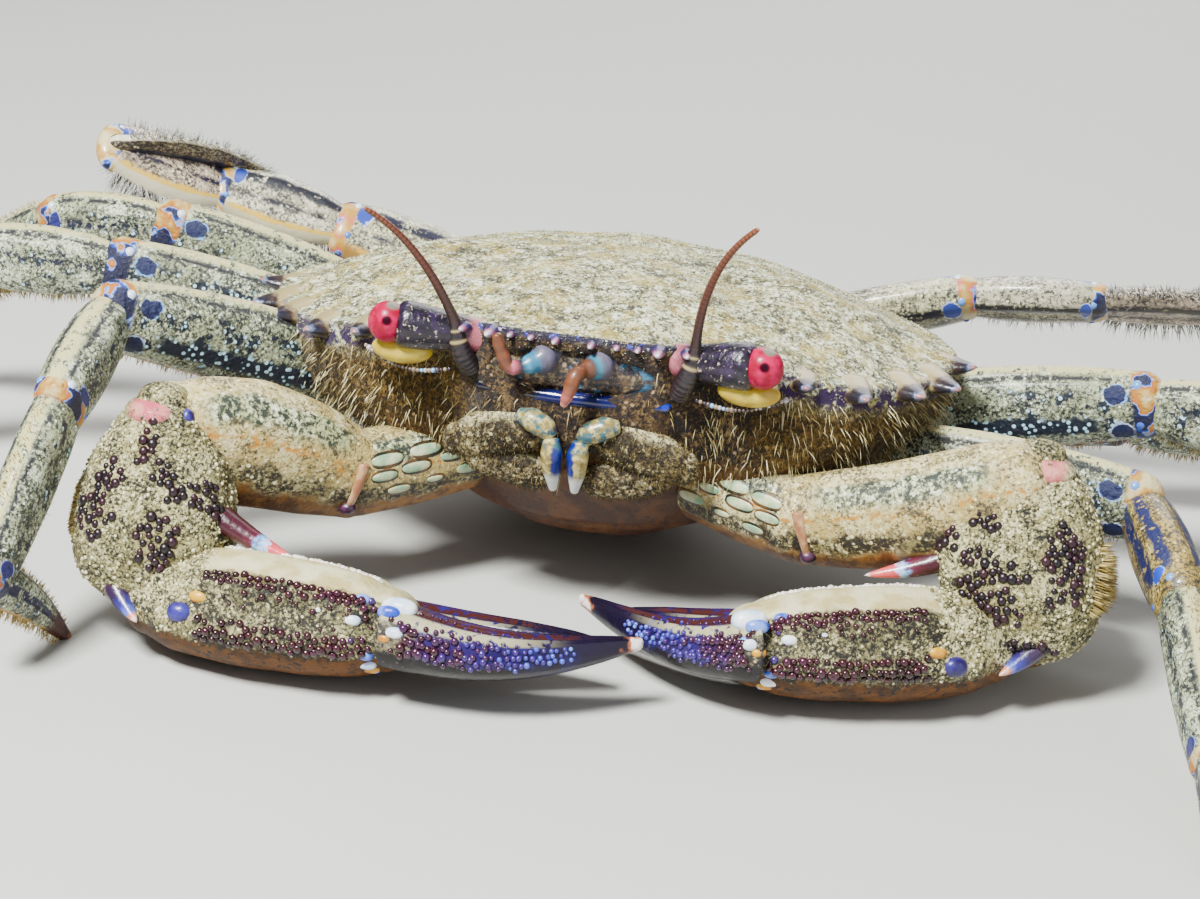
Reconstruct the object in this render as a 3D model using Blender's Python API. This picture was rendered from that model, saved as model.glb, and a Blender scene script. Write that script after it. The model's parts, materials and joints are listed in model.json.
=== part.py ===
# Velvet crab, a still model at life size, in a defensive crouch on its feet and closed claws.
# Sizes are in millimetres and are turned to metres by MM where a mesh is made. The floor is Z = 0,
# +Z is up, and the crab faces -Y, so its own left side is +X.
import math

import bmesh
import bpy
from mathutils import Matrix, Vector

MM = 0.001
GAP = 0.3
# The point of the floor under the middle of the whole crab, which is the model's origin.
MIDDLE = Vector((3.3, -14.9, 0.0))
SIDES = {"l": 1.0, "r": -1.0}

# The body stands on its legs, nose slightly raised. Body points are given in its own frame and
# BODY takes them to the model's frame.
BODY_PITCH = math.radians(5.0)
BODY_HEIGHT = 26.5
BODY = Matrix.Translation((0.0, 0.0, BODY_HEIGHT)) @ Matrix.Rotation(-BODY_PITCH, 4, "X")

# Half of the carapace's rim between the roots of its teeth, from the middle of the brow round to
# the middle of the back edge.
RIM = [
    (0.0, -31.4, 3.2), (5.0, -31.4, 3.2), (9.3, -30.6, 3.1), (12.0, -28.6, 2.7),
    (16.5, -27.2, 2.2), (21.0, -27.4, 1.2), (24.0, -26.4, 0.4), (28.8, -23.4, -0.7),
    (33.2, -18.8, -1.0), (36.0, -13.4, -1.2), (37.6, -8.0, -0.6), (36.9, -2.0, -0.7),
    (33.6, 6.5, -1.1), (28.8, 15.0, -1.9), (23.4, 22.0, -2.8), (18.4, 27.0, -3.6),
    (10.0, 28.8, -3.5), (0.0, 29.2, -3.3),
]
RIM_STEPS = 2
CROWN = (0.0, -5.0, 6.3)
CROWN_POWER = 2.2
CROWN_RINGS = (0.16, 0.34, 0.52, 0.69, 0.84, 0.94)
# Low swellings and grooves of the back: x, y, height and radius.
LOBES = [
    (7.5, -18.5, 0.8, 5.5), (0.0, -10.0, 0.4, 5.0), (21.0, -7.0, 1.0, 8.0), (0.0, 9.0, 0.7, 5.5),
    (13.5, -9.0, -0.8, 4.0), (7.5, 3.0, -0.6, 4.0), (15.0, 11.0, 0.5, 7.0),
]
# The flanks curve in under the rim to the lower edge, which rises towards the back.
FLANK_IN_X = 0.72
FLANK_IN_Y = 0.86
FLANK_STEPS = 4
LOWER_EDGE_FRONT = -12.5
LOWER_EDGE_BACK = -6.5
# The five side teeth, each by its tip, its root on the rim and its width.
SIDE_TEETH = [
    ((23.6, -29.0, 0.5), (22.6, -25.6, 0.3), 4.2), ((29.6, -26.0, -0.8), (27.6, -22.2, -0.8), 5.0),
    ((35.1, -21.4, -1.0), (32.2, -17.6, -1.1), 5.2), ((38.6, -15.8, -1.3), (35.0, -12.4, -1.3), 5.2),
    ((40.0, -8.8, -0.5), (35.4, -7.2, -0.9), 5.0),
]
# The small teeth along the brow, by x of the root, length and width.
BROW_TEETH = [(1.8, 2.2, 1.5), (4.3, 1.5, 1.3), (6.4, 1.4, 1.3), (8.5, 2.2, 2.0), (11.3, 1.0, 1.6)]
BROW_TOOTH_ROOT = -30.6
BROW_TOOTH_LEVEL = 3.0
ORBIT_CENTRE = (17.2, -30.2, 1.4)
ORBIT_RADII = (6.0, 3.6, 3.9)
MOUTH_RECESS_CENTRE = (0.0, -31.2, -0.6)
MOUTH_RECESS_RADII = (9.4, 2.6, 2.3)
EPISTOME_END = (10.4, -29.3, -3.2)
EPISTOME_MIDDLE = (0.0, -30.3, -3.3)
EPISTOME_THICKNESS = 1.9

# The breast below the carapace, as level outlines: height, half width, front and back.
THORAX_LEVELS = [
    (-6.5, 24.5, -24.5, 22.5), (-12.0, 24.5, -24.5, 22.5), (-15.5, 21.5, -23.0, 20.5),
    (-19.5, 16.5, -20.5, 17.0), (-22.2, 10.5, -16.5, 13.0),
]
THORAX_POWER = 2.6
# The tail flap is folded under the breast: path points with half width.
ABDOMEN_PATH = [
    (27.2, -5.2, 14.0), (25.6, -10.5, 12.5), (21.0, -15.8, 11.0), (14.5, -20.6, 9.0),
    (6.0, -23.0, 6.5), (-2.0, -23.6, 4.2), (-8.5, -23.5, 2.0),
]
ABDOMEN_THICKNESS = 1.7

# Face parts, in the body's frame.
STALK_ROOT = (11.0, -28.6, 1.6)
STALK_END = (17.4, -31.2, 2.6)
STALK_RADIUS = 1.9
STALK_SHAPE = ((0.0, 0.9), (0.45, 0.85), (0.8, 1.05), (1.0, 1.1))
CORNEA_CENTRE = (19.2, -31.5, 2.7)
CORNEA_RADII = (2.0, 1.9, 2.1)
ANTENNA_BASE = [(10.6, -29.6, -1.6, 1.6), (11.6, -30.9, 0.6, 1.5), (12.2, -30.9, 3.0, 1.1)]
ANTENNA_PATH = {
    "r": [(-12.2, -30.9, 3.0), (-15.4, -35.1, 12.6), (-20.4, -39.6, 16.1)],
    "l": [(12.2, -30.9, 3.0), (12.6, -35.1, 13.6), (18.4, -39.8, 18.6)],
}
ANTENNA_RINGS = 9
ANTENNA_ROOT_RADIUS = 0.5
ANTENNA_TIP_RADIUS = 0.27
ANTENNULE_PATH = {
    "r": [(-2.6, -29.4, 0.6, 2.1), (-3.2, -31.3, 0.3, 1.9), (-4.8, -32.7, 0.0, 0.9),
          (-6.2, -33.3, 0.0, 0.8), (-7.2, -33.4, 2.2, 0.8), (-7.6, -33.5, 3.6, 0.5)],
    "l": [(3.0, -29.4, 0.6, 2.1), (2.6, -31.4, 0.3, 1.9), (1.4, -33.0, 0.5, 0.9),
          (0.8, -34.2, 0.2, 0.9), (0.4, -34.3, -1.4, 0.8), (-0.2, -34.0, -3.2, 0.45)],
}
MAXILLIPED_OUTLINE = [
    (0.5, -5.6), (1.2, -4.7), (4.0, -4.9), (8.0, -4.4), (12.0, -5.6), (12.4, -8.0), (11.4, -11.6),
    (7.0, -13.4), (3.0, -14.0), (0.5, -13.4),
]
MAXILLIPED_BACK = -27.4
MAXILLIPED_FRONT = -30.5
MAXILLIPED_LEAN = 0.16
PALP_PATH = [
    (4.2, -30.4, -5.4, 1.2), (1.9, -31.2, -6.0, 1.3), (1.7, -31.0, -9.5, 1.3), (1.6, -30.4, -13.2, 0.6),
]

# Walking legs: length of each joint, then the widths and thicknesses along each joint.
LEG_LENGTHS = {2: (38.5, 14.0, 19.5, 16.0), 3: (38.0, 15.0, 20.0, 18.0), 4: (38.0, 14.0, 20.0, 18.0)}
LEG_ROOTS = {2: (21.0, -9.0, 15.0), 3: (21.5, 0.0, 14.2), 4: (20.0, 9.0, 13.2)}
# Heading and rise of the merus, carpus and propodus, then the heading of the dactyl, which always
# comes down to the floor.
LEG_POSES = {
    "2_r": ((-140.2, 21.8), (-92.0, -22.0), (-97.0, -42.0), 74.0),
    "3_r": ((-165.2, 18.3), (-171.0, 2.0), (-172.4, -42.0), -178.0),
    "4_r": ((-167.5, 22.6), (177.0, -5.0), (165.3, -35.0), 166.0),
    "2_l": ((-12.5, 2.6), (-71.6, -16.8), (-78.1, -25.6), -88.5),
    "3_l": ((-4.5, 13.0), (-8.0, -2.0), (-8.0, -35.0), -8.0),
    "4_l": ((14.0, 0.0), (14.0, -5.0), (18.0, -20.0), 18.0),
}
MERUS = [
    (0.0, 7.0, 6.0), (0.12, 6.8, 5.4), (0.35, 8.4, 5.4), (0.62, 8.8, 5.4), (0.85, 8.2, 5.4),
    (1.0, 7.2, 5.2),
]
CARPUS = [(0.0, 5.0, 4.4), (0.2, 6.6, 5.2), (0.5, 7.6, 5.6), (0.8, 7.6, 5.4), (1.0, 6.8, 5.0)]
PROPODUS = [(0.0, 5.8, 4.4), (0.2, 7.0, 4.8), (0.5, 7.2, 4.8), (0.8, 6.4, 4.4), (1.0, 5.2, 3.8)]
DACTYL = [(0.0, 4.0, 3.0), (0.15, 4.4, 3.0), (0.45, 3.5, 2.5), (0.8, 2.1, 1.7), (1.0, 1.1, 1.1)]
LEG_BOW = 0.7

# Swimming legs: the last joint is a thin paddle.
SWIM_LENGTHS = (23.5, 15.0, 14.5, 20.0)
SWIM_ROOT = (15.0, 19.0, 18.0)
# Their flat faces lean back, so that they look up more than sideways.
SWIM_TWIST = {"r": math.radians(42.0), "l": math.radians(50.0)}
SWIM_POSES = {
    "r": ((-170.3, 19.0), (-168.3, 16.2), (-149.7, 23.4), (38.0, -16.5)),
    "l": ((2.8, 16.9), (0.0, 4.6), (0.0, 4.4), (5.0, -4.0)),
}
SWIM_MERUS = [(0.0, 6.4, 5.0), (0.2, 7.6, 5.2), (0.55, 9.0, 5.4), (0.85, 8.4, 5.2), (1.0, 7.0, 4.8)]
SWIM_CARPUS = [(0.0, 4.8, 3.8), (0.25, 7.0, 4.4), (0.6, 8.0, 4.4), (1.0, 6.4, 4.0)]
SWIM_PROPODUS = [(0.0, 5.0, 3.0), (0.25, 7.4, 3.2), (0.6, 8.2, 3.2), (1.0, 6.0, 2.8)]
PADDLE = [
    (0.0, 4.0, 2.4), (0.12, 6.4, 2.0), (0.35, 8.8, 1.6), (0.6, 9.0, 1.4), (0.85, 6.0, 1.2), (1.0, 1.8, 0.9),
]

# Claws: joints by their middles, then what each side's claw has in common.
CLAW_JOINTS = {
    "r": {"root": (-13.0, -21.0, 14.5), "hip": (-23.0, -29.0, 13.7), "knee": (-39.8, -39.8, 20.6),
          "wrist": (-38.5, -46.8, 5.7), "palm": (-13.8, -48.2, 6.1), "dactyl": (11.0, -47.0, 7.8),
          "finger": (6.6, -45.4, 6.4)},
    "l": {"root": (13.0, -21.0, 14.5), "hip": (24.0, -26.0, 13.9), "knee": (46.0, -27.0, 20.8),
          "wrist": (44.6, -32.4, 6.1), "palm": (21.9, -41.0, 6.5), "dactyl": (3.5, -36.0, 6.2),
          "finger": (6.9, -34.6, 4.4)},
}
CLAW_BASE = [(0.0, 8.0, 7.0), (0.5, 9.0, 7.4), (1.0, 9.0, 7.4)]
CLAW_MERUS = [(0.0, 9.4, 7.0), (0.25, 11.8, 8.0), (0.6, 13.4, 9.0), (0.9, 12.0, 9.0), (1.0, 9.8, 8.0)]
CLAW_MERUS_BOW = 0.6
# The carpus is a broad block that hangs from the knee: levels by height above the floor.
CLAW_CARPUS_LEVELS = [
    (24.9, 4.5, 3.2), (22.4, 8.6, 6.4), (17.4, 15.0, 12.6), (11.9, 16.6, 14.8), (7.6, 15.4, 14.2),
    (5.0, 11.5, 10.5), (3.9, 6.0, 6.0),
]
CLAW_CARPUS_MIDDLE = {"r": (-39.6, -43.6), "l": (47.4, -28.7)}
CLAW_CARPUS_LEAN = 0.22
# Spines of the carpus by root, tip and width: x inwards and y from its middle, z above the floor.
CLAW_CARPUS_SPINES = [
    ((7.4, -1.0, 13.9), (16.0, -2.8, 11.2), 3.0), ((6.4, -3.4, 10.5), (10.4, -5.4, 8.7), 2.0),
    ((-2.2, -5.6, 7.5), (1.4, -9.0, 5.2), 2.6),
]
PALM = [
    (0.0, 8.4, 8.0), (0.12, 12.0, 10.6), (0.42, 14.6, 11.8), (0.75, 13.8, 11.2), (0.95, 12.0, 9.8),
    (1.0, 9.6, 7.8),
]
PALM_ROLL = math.radians(66.0)
FINGER = [(0.0, 7.2, 6.8), (0.35, 5.6, 5.4), (0.7, 3.9, 3.8), (0.92, 2.2, 2.2), (1.0, 1.1, 1.1)]
FINGER_SETOUT = 3.3
FINGER_SUNK = 4.0
# The fingers bow apart and hang a little in the middle.
FINGER_BOW = 1.6
FINGER_SAG = {1.0: 1.7, -1.0: 0.4}

SKIN = {
    "shell": (0.50, 0.42, 0.25), "belly": (0.42, 0.24, 0.12), "eye": (0.75, 0.02, 0.12),
    "stalk": (0.10, 0.06, 0.12), "feeler": (0.36, 0.15, 0.08), "leg": (0.48, 0.44, 0.30),
    "claw": (0.46, 0.38, 0.28), "finger": (0.12, 0.08, 0.22), "mouth": (0.46, 0.40, 0.26),
}


def clear_scene():
    for thing in list(bpy.data.objects):
        bpy.data.objects.remove(thing, do_unlink=True)


def material(name, roughness=0.55):
    found = bpy.data.materials.get(name)
    if found:
        return found
    made = bpy.data.materials.new(name)
    made.use_nodes = True
    shader = made.node_tree.nodes["Principled BSDF"]
    shader.inputs["Base Color"].default_value = (*SKIN[name], 1.0)
    shader.inputs["Roughness"].default_value = roughness
    made.diffuse_color = (*SKIN[name], 1.0)
    return made


def mesh_of(name, rings, start=None, end=None):
    """A closed mesh through rings of points, each end closed by a fan to its own point."""
    made = bmesh.new()
    loops = [[made.verts.new((p - MIDDLE) * MM) for p in ring] for ring in rings]
    count = len(rings[0])
    for low, high in zip(loops, loops[1:]):
        for i in range(count):
            j = (i + 1) % count
            made.faces.new((low[i], low[j], high[j], high[i]))
    for ring, tip, order in ((loops[0], start, -1), (loops[-1], end, 1)):
        if tip is None:
            tip = sum((v.co for v in ring), Vector()) / count / MM + MIDDLE
        point = made.verts.new((tip - MIDDLE) * MM)
        for i in range(count):
            pair = (ring[i], ring[(i + 1) % count])[::order]
            made.faces.new((*pair, point))
    bmesh.ops.recalc_face_normals(made, faces=made.faces)
    bmesh.ops.triangulate(made, faces=made.faces)
    mesh = bpy.data.meshes.new(name)
    made.to_mesh(mesh)
    made.free()
    return mesh


def node(name, mesh, skin):
    thing = bpy.data.objects.new(name, mesh)
    bpy.context.scene.collection.objects.link(thing)
    mesh.materials.clear()
    mesh.materials.append(material(skin))
    mesh.shade_smooth()
    mesh.set_sharp_from_angle(angle=math.radians(40.0))
    return thing


def largest_surface(mesh):
    """Keeps only the largest closed surface, and closes nothing."""
    work = bmesh.new()
    work.from_mesh(mesh)
    left = set(work.faces)
    surfaces = []
    while left:
        found = [left.pop()]
        for face in found:
            for edge in face.edges:
                for other in edge.link_faces:
                    if other in left:
                        left.discard(other)
                        found.append(other)
        surfaces.append(found)
    surfaces.sort(key=lambda faces: sum(face.calc_area() for face in faces))
    loose = [face for faces in surfaces[:-1] for face in faces]
    bmesh.ops.delete(work, geom=loose, context="FACES")
    bmesh.ops.triangulate(work, faces=work.faces)
    work.to_mesh(mesh)
    work.free()


def is_closed(mesh):
    work = bmesh.new()
    work.from_mesh(mesh)
    closed = len(work.faces) > 3 and all(edge.is_manifold for edge in work.edges)
    work.free()
    return closed


def combine(thing, pieces, operation):
    """One Boolean of a node with a collection of closed pieces, applied; the pieces then go."""
    group = bpy.data.collections.new(thing.name + "_pieces")
    bpy.context.scene.collection.children.link(group)
    for piece in pieces:
        for holder in list(piece.users_collection):
            holder.objects.unlink(piece)
        group.objects.link(piece)
    cut = thing.modifiers.new(operation.lower(), "BOOLEAN")
    cut.operation = operation
    cut.operand_type = "COLLECTION"
    cut.collection = group
    for solver in ("EXACT", "MANIFOLD"):
        cut.solver = solver
        bpy.context.view_layer.update()
        seen = thing.evaluated_get(bpy.context.evaluated_depsgraph_get())
        mesh = bpy.data.meshes.new_from_object(seen)
        if is_closed(mesh):
            break
    thing.modifiers.remove(cut)
    old = thing.data
    thing.data = mesh
    bpy.data.meshes.remove(old)
    mesh.name = thing.name
    largest_surface(mesh)
    for piece in pieces:
        bpy.data.objects.remove(piece, do_unlink=True)
    bpy.data.collections.remove(group)


def grown(thing, distance=GAP):
    """A copy of a node, pushed outwards all over by the gap that touching nodes keep."""
    work = bmesh.new()
    work.from_mesh(thing.data)
    work.normal_update()
    moves = [(v, v.normal * min(v.calc_shell_factor(), 1.6)) for v in work.verts]
    for vertex, way in moves:
        vertex.co += way * distance * MM
    mesh = bpy.data.meshes.new(thing.name + "_grown")
    work.to_mesh(mesh)
    work.free()
    copy = bpy.data.objects.new(thing.name + "_grown", mesh)
    bpy.context.scene.collection.objects.link(copy)
    return copy


def carve(thing, *neighbours):
    combine(thing, [grown(neighbour) for neighbour in neighbours], "DIFFERENCE")


def fuse(thing, pieces):
    combine(thing, pieces, "UNION")


def piece_of(name, rings, start=None, end=None):
    thing = bpy.data.objects.new(name, mesh_of(name, rings, start, end))
    bpy.context.scene.collection.objects.link(thing)
    return thing


def heading(turn, rise):
    turn, rise = math.radians(turn), math.radians(rise)
    return Vector((math.cos(turn) * math.cos(rise), math.sin(turn) * math.cos(rise), math.sin(rise)))


def oval(centre, across, along, width, thickness, sides, power=2.3):
    """Points of a rounded section, width along one direction and thickness along the other."""
    points = []
    for i in range(sides):
        angle = 2.0 * math.pi * (i + 0.5) / sides
        c, s = math.cos(angle), math.sin(angle)
        x = math.copysign(abs(c) ** (2.0 / power), c) * width / 2.0
        y = math.copysign(abs(s) ** (2.0 / power), s) * thickness / 2.0
        points.append(centre + across * x + along * y)
    return points


def limb(start, end, side, stations, sides=10, bow=0.0, round_start=0.3, round_end=0.35):
    """Rings of a limb joint. side is the way its flat faces look; bow lifts its middle."""
    start, end, side = Vector(start), Vector(end), Vector(side)
    axis = (end - start).normalized()
    flat = (side - axis * side.dot(axis)).normalized()
    wide = flat.cross(axis)
    if wide.z < 0.0:
        wide, flat = -wide, -flat
    rings = []
    for along, width, thickness in stations:
        centre = start.lerp(end, along) + wide * bow * math.sin(math.pi * along)
        rings.append(oval(centre, wide, flat, width, thickness, sides))
    first = start - axis * stations[0][1] * round_start
    last = end + axis * stations[-1][1] * round_end
    return rings, first, last


def level_side(start, end):
    """The level direction square to a limb joint, where its flat faces look."""
    way = Vector(end) - Vector(start)
    side = way.cross(Vector((0.0, 0.0, 1.0)))
    return side.normalized() if side.length > 1e-6 else Vector((0.0, 1.0, 0.0))


def tube(path, sides, root_in=0.0):
    """Rings of a round tube through points (x, y, z, radius)."""
    points = [Vector(p[:3]) for p in path]
    rings = []
    side = None
    for i, point in enumerate(points):
        ahead = points[min(i + 1, len(points) - 1)] - points[max(i - 1, 0)]
        axis = ahead.normalized()
        if side is None:
            side = axis.orthogonal().normalized()
        side = (side - axis * side.dot(axis)).normalized()
        rings.append(oval(point, side, axis.cross(side), 2.0 * path[i][3], 2.0 * path[i][3], sides, 2.0))
    first = points[0] - (points[1] - points[0]).normalized() * (path[0][3] * 0.5 + root_in)
    last = points[-1] + (points[-1] - points[-2]).normalized() * path[-1][3] * 0.9
    return rings, first, last


def spine(name, root, tip, width, flat=0.7, sides=6, place=Matrix.Identity(4)):
    """One pointed spine from a root sunk in its node to its tip."""
    root, tip = place @ Vector(root), place @ Vector(tip)
    axis = (tip - root).normalized()
    side = axis.cross(place.to_3x3() @ Vector((0.0, 0.0, 1.0)))
    side = side.normalized() if side.length > 0.05 else axis.orthogonal().normalized()
    rings = []
    for along, share in ((0.0, 1.0), (0.55, 0.78), (0.88, 0.32)):
        centre = root.lerp(tip, along)
        rings.append(oval(centre, side, axis.cross(side), width * share, width * share * flat, sides, 2.0))
    return piece_of(name, rings, root - axis * 0.2, tip)


def ellipsoid(name, centre, radii, place=Matrix.Identity(4), around=16, rings=8):
    layers = []
    for i in range(1, rings):
        angle = math.pi * i / rings - math.pi / 2.0
        level = Vector((centre[0], centre[1], centre[2] + radii[2] * math.sin(angle)))
        reach = math.cos(angle)
        across, along = Vector((1.0, 0.0, 0.0)), Vector((0.0, 1.0, 0.0))
        ring = oval(level, across, along, 2.0 * radii[0] * reach, 2.0 * radii[1] * reach, around, 2.0)
        layers.append([place @ p for p in ring])
    low = place @ Vector((centre[0], centre[1], centre[2] - radii[2]))
    high = place @ Vector((centre[0], centre[1], centre[2] + radii[2]))
    return piece_of(name, layers, low, high)


def curve_through(points, steps):
    """Points along a smooth closed curve through the given ones."""
    count = len(points)
    made = []
    for i in range(count):
        a, b, c, d = (points[(i + k) % count] for k in (-1, 0, 1, 2))
        for step in range(steps):
            t = step / steps
            made.append(
                0.5 * ((2.0 * b) + (c - a) * t + (2.0 * a - 5.0 * b + 4.0 * c - d) * t * t
                       + (3.0 * b - a - 3.0 * c + d) * t ** 3)
            )
    return made


def bezier(points, t):
    a, b, c = (Vector(p) for p in points)
    return a * (1.0 - t) ** 2 + b * 2.0 * t * (1.0 - t) + c * t * t


def mirror(point, side):
    return Vector((point[0] * SIDES[side], point[1], point[2]))


def rim_points():
    right = [Vector(p) for p in RIM]
    left = [Vector((-p[0], p[1], p[2])) for p in reversed(RIM[1:-1])]
    return curve_through(right + left, RIM_STEPS)


def relief(x, y):
    total = 0.0
    for lobe_x, lobe_y, height, radius in LOBES:
        far = ((abs(x) - lobe_x) ** 2 + (y - lobe_y) ** 2) / radius ** 2
        total += height * math.exp(-far)
    return total


def crown_ring(rim, share):
    crown = Vector(CROWN)
    ring = []
    for edge in rim:
        point = crown.lerp(edge, share)
        point.z = edge.z + (crown.z - edge.z) * (1.0 - share ** CROWN_POWER)
        point.z += relief(point.x, point.y) * (1.0 - share ** 4)
        ring.append(point)
    return ring


def lower_edge(y):
    share = min(max((y + 2.0) / 26.0, 0.0), 1.0)
    return LOWER_EDGE_FRONT + (LOWER_EDGE_BACK - LOWER_EDGE_FRONT) * share * share * (3.0 - 2.0 * share)


def flank_ring(rim, share):
    turn = share * math.pi / 2.0
    ring = []
    for edge in rim:
        inward_x = FLANK_IN_X + (1.0 - FLANK_IN_X) * math.cos(turn)
        inward_y = FLANK_IN_Y + (1.0 - FLANK_IN_Y) * math.cos(turn)
        drop = (lower_edge(edge.y) - edge.z) * math.sin(turn)
        ring.append(Vector((edge.x * inward_x, edge.y * inward_y, edge.z + drop)))
    return ring


def build_carapace():
    rim = rim_points()
    rings = [crown_ring(rim, share) for share in CROWN_RINGS] + [rim]
    rings += [flank_ring(rim, (i + 1) / FLANK_STEPS) for i in range(FLANK_STEPS)]
    rings = [[BODY @ p for p in ring] for ring in rings]
    top = BODY @ (Vector(CROWN) + Vector((0.0, 0.0, relief(0.0, CROWN[1]))))
    bottom = BODY @ Vector((0.0, -2.0, LOWER_EDGE_FRONT + 0.4))
    shell = node("carapace", mesh_of("carapace", rings, top, bottom), "shell")
    hollows = [ellipsoid("mouth_recess", MOUTH_RECESS_CENTRE, MOUTH_RECESS_RADII, BODY)]
    for side in SIDES:
        centre = mirror(ORBIT_CENTRE, side)
        hollows.append(ellipsoid("orbit_" + side, centre, ORBIT_RADII, BODY))
    combine(shell, hollows, "DIFFERENCE")
    fuse(shell, carapace_teeth() + [epistome()])
    return shell


def carapace_teeth():
    teeth = []
    for side in SIDES:
        for tip, root, width in SIDE_TEETH:
            teeth.append(spine("tooth", mirror(root, side), mirror(tip, side), width, 0.55, 6, BODY))
        for x, length, width in BROW_TEETH:
            root = mirror((x, BROW_TOOTH_ROOT, BROW_TOOTH_LEVEL), side)
            tip = mirror((x * 1.03, BROW_TOOTH_ROOT - 1.0 - length, BROW_TOOTH_LEVEL + 0.1), side)
            teeth.append(spine("brow_tooth", root, tip, width, 0.8, 5, BODY))
    return teeth


def epistome():
    ends = [mirror(EPISTOME_END, side) for side in ("r", "l")]
    middle = Vector(EPISTOME_MIDDLE)
    path = []
    for i in range(9):
        t = i / 8
        point = ends[0].lerp(ends[1], t)
        point += (middle - (ends[0] + ends[1]) / 2.0) * math.sin(math.pi * t)
        path.append((*(BODY @ point), EPISTOME_THICKNESS / 2.0))
    return piece_of("epistome", *tube(path, 8))


def build_thorax(shell):
    rings = []
    for height, half_width, front, back in THORAX_LEVELS:
        centre = Vector((0.0, (front + back) / 2.0, height))
        ring = oval(centre, Vector((1.0, 0.0, 0.0)), Vector((0.0, 1.0, 0.0)),
                    2.0 * half_width, back - front, 24, THORAX_POWER)
        rings.append([BODY @ p for p in ring])
    breast = node("thorax", mesh_of("thorax", rings), "belly")
    carve(breast, shell)
    return breast


def build_abdomen(shell, breast):
    rings = []
    points = [Vector((0.0, y, z)) for y, z, _ in ABDOMEN_PATH]
    for i, (_, _, half_width) in enumerate(ABDOMEN_PATH):
        ahead = points[min(i + 1, len(points) - 1)] - points[max(i - 1, 0)]
        across = Vector((1.0, 0.0, 0.0))
        out = ahead.normalized().cross(across)
        ring = oval(points[i], across, out, 2.0 * half_width, ABDOMEN_THICKNESS, 10, 3.0)
        rings.append([BODY @ p for p in ring])
    flap = node("abdomen", mesh_of("abdomen", rings), "belly")
    carve(flap, shell, breast)
    return flap


def build_maxilliped(side, shell, breast):
    rings = []
    for depth, share in ((MAXILLIPED_BACK, 0.97), (MAXILLIPED_FRONT + 1.0, 1.0), (MAXILLIPED_FRONT, 0.80)):
        middle_x, middle_z = 6.4, -9.2
        ring = []
        for x, z in MAXILLIPED_OUTLINE:
            x, z = middle_x + (x - middle_x) * share, middle_z + (z - middle_z) * share
            lean = (z - MAXILLIPED_OUTLINE[0][1]) * -MAXILLIPED_LEAN
            ring.append(BODY @ mirror((x, depth + lean, z), side))
        rings.append(ring)
    plate = node("maxilliped_" + side, mesh_of("maxilliped", rings), "mouth")
    path = [(*(BODY @ mirror(p[:3], side)), p[3]) for p in PALP_PATH]
    fuse(plate, [piece_of("palp", *tube(path, 6))])
    carve(plate, shell, breast)
    return plate


def build_eye(side, shell):
    root, end = BODY @ mirror(STALK_ROOT, side), BODY @ mirror(STALK_END, side)
    path = [(*root.lerp(end, t), STALK_RADIUS * share) for t, share in STALK_SHAPE]
    stalk = node("eyestalk_" + side, mesh_of("eyestalk", *tube(path, 10)), "stalk")
    carve(stalk, shell)
    cornea = ellipsoid("cornea_" + side, mirror(CORNEA_CENTRE, side), CORNEA_RADII, BODY, 12, 8)
    cornea = node("cornea_" + side, cornea_mesh(cornea), "eye")
    carve(cornea, stalk, shell)
    return stalk, cornea


def cornea_mesh(piece):
    mesh = piece.data
    bpy.data.objects.remove(piece, do_unlink=True)
    return mesh


def build_feelers(side, shell, stalk):
    path = [(*(BODY @ mirror(p[:3], side)), p[3]) for p in ANTENNA_BASE]
    for i in range(1, ANTENNA_RINGS + 1):
        t = i / ANTENNA_RINGS
        radius = ANTENNA_ROOT_RADIUS + (ANTENNA_TIP_RADIUS - ANTENNA_ROOT_RADIUS) * t
        path.append((*(BODY @ bezier(ANTENNA_PATH[side], t)), radius))
    antenna = node("antenna_" + side, mesh_of("antenna", *tube(path, 6)), "feeler")
    carve(antenna, shell, stalk)
    path = [(*(BODY @ Vector(p[:3])), p[3]) for p in ANTENNULE_PATH[side]]
    antennule = node("antennule_" + side, mesh_of("antennule", *tube(path, 7)), "feeler")
    carve(antennule, shell)
    return antenna, antennule


def floor_cutter():
    """A slab under the floor, which leaves a small flat on whatever rests on it."""
    low, high, reach = -8.0, 0.0, 160.0
    corners = [(-reach, -reach), (reach, -reach), (reach, reach), (-reach, reach)]
    rings = [[Vector((x, y, z)) for x, y in corners] for z in (low, high)]
    return piece_of("floor_cutter", rings)


def flatten_foot(thing):
    combine(thing, [floor_cutter()], "DIFFERENCE")


def build_leg(name, root, lengths, pose, forms, twist=0.0):
    """A chain of four joints. Each later joint is carved to fit the end of the one before."""
    joints = [Vector(root)]
    for length, (turn, rise) in zip(lengths[:3], pose[:3]):
        joints.append(joints[-1] + heading(turn, rise) * length)
    if isinstance(pose[3], tuple):
        joints.append(joints[-1] + heading(*pose[3]) * lengths[3])
    else:
        drop = math.degrees(math.asin(min(joints[-1].z / lengths[3], 0.95)))
        joints.append(joints[-1] + heading(pose[3], -drop) * lengths[3])
    made = []
    for i, part in enumerate(("merus", "carpus", "propodus", "dactyl")):
        start, end = joints[i], joints[i + 1]
        side = Matrix.Rotation(twist, 3, end - start) @ level_side(start, end)
        bow = LEG_BOW if part in ("merus", "dactyl") else 0.0
        rings = limb(start, end, side, forms[i], 8 if part == "dactyl" else 10, bow)
        made.append(node(f"{part}_{name}", mesh_of(part, *rings), "leg"))
    for before, after in zip(made, made[1:]):
        carve(after, before)
    return made


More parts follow.
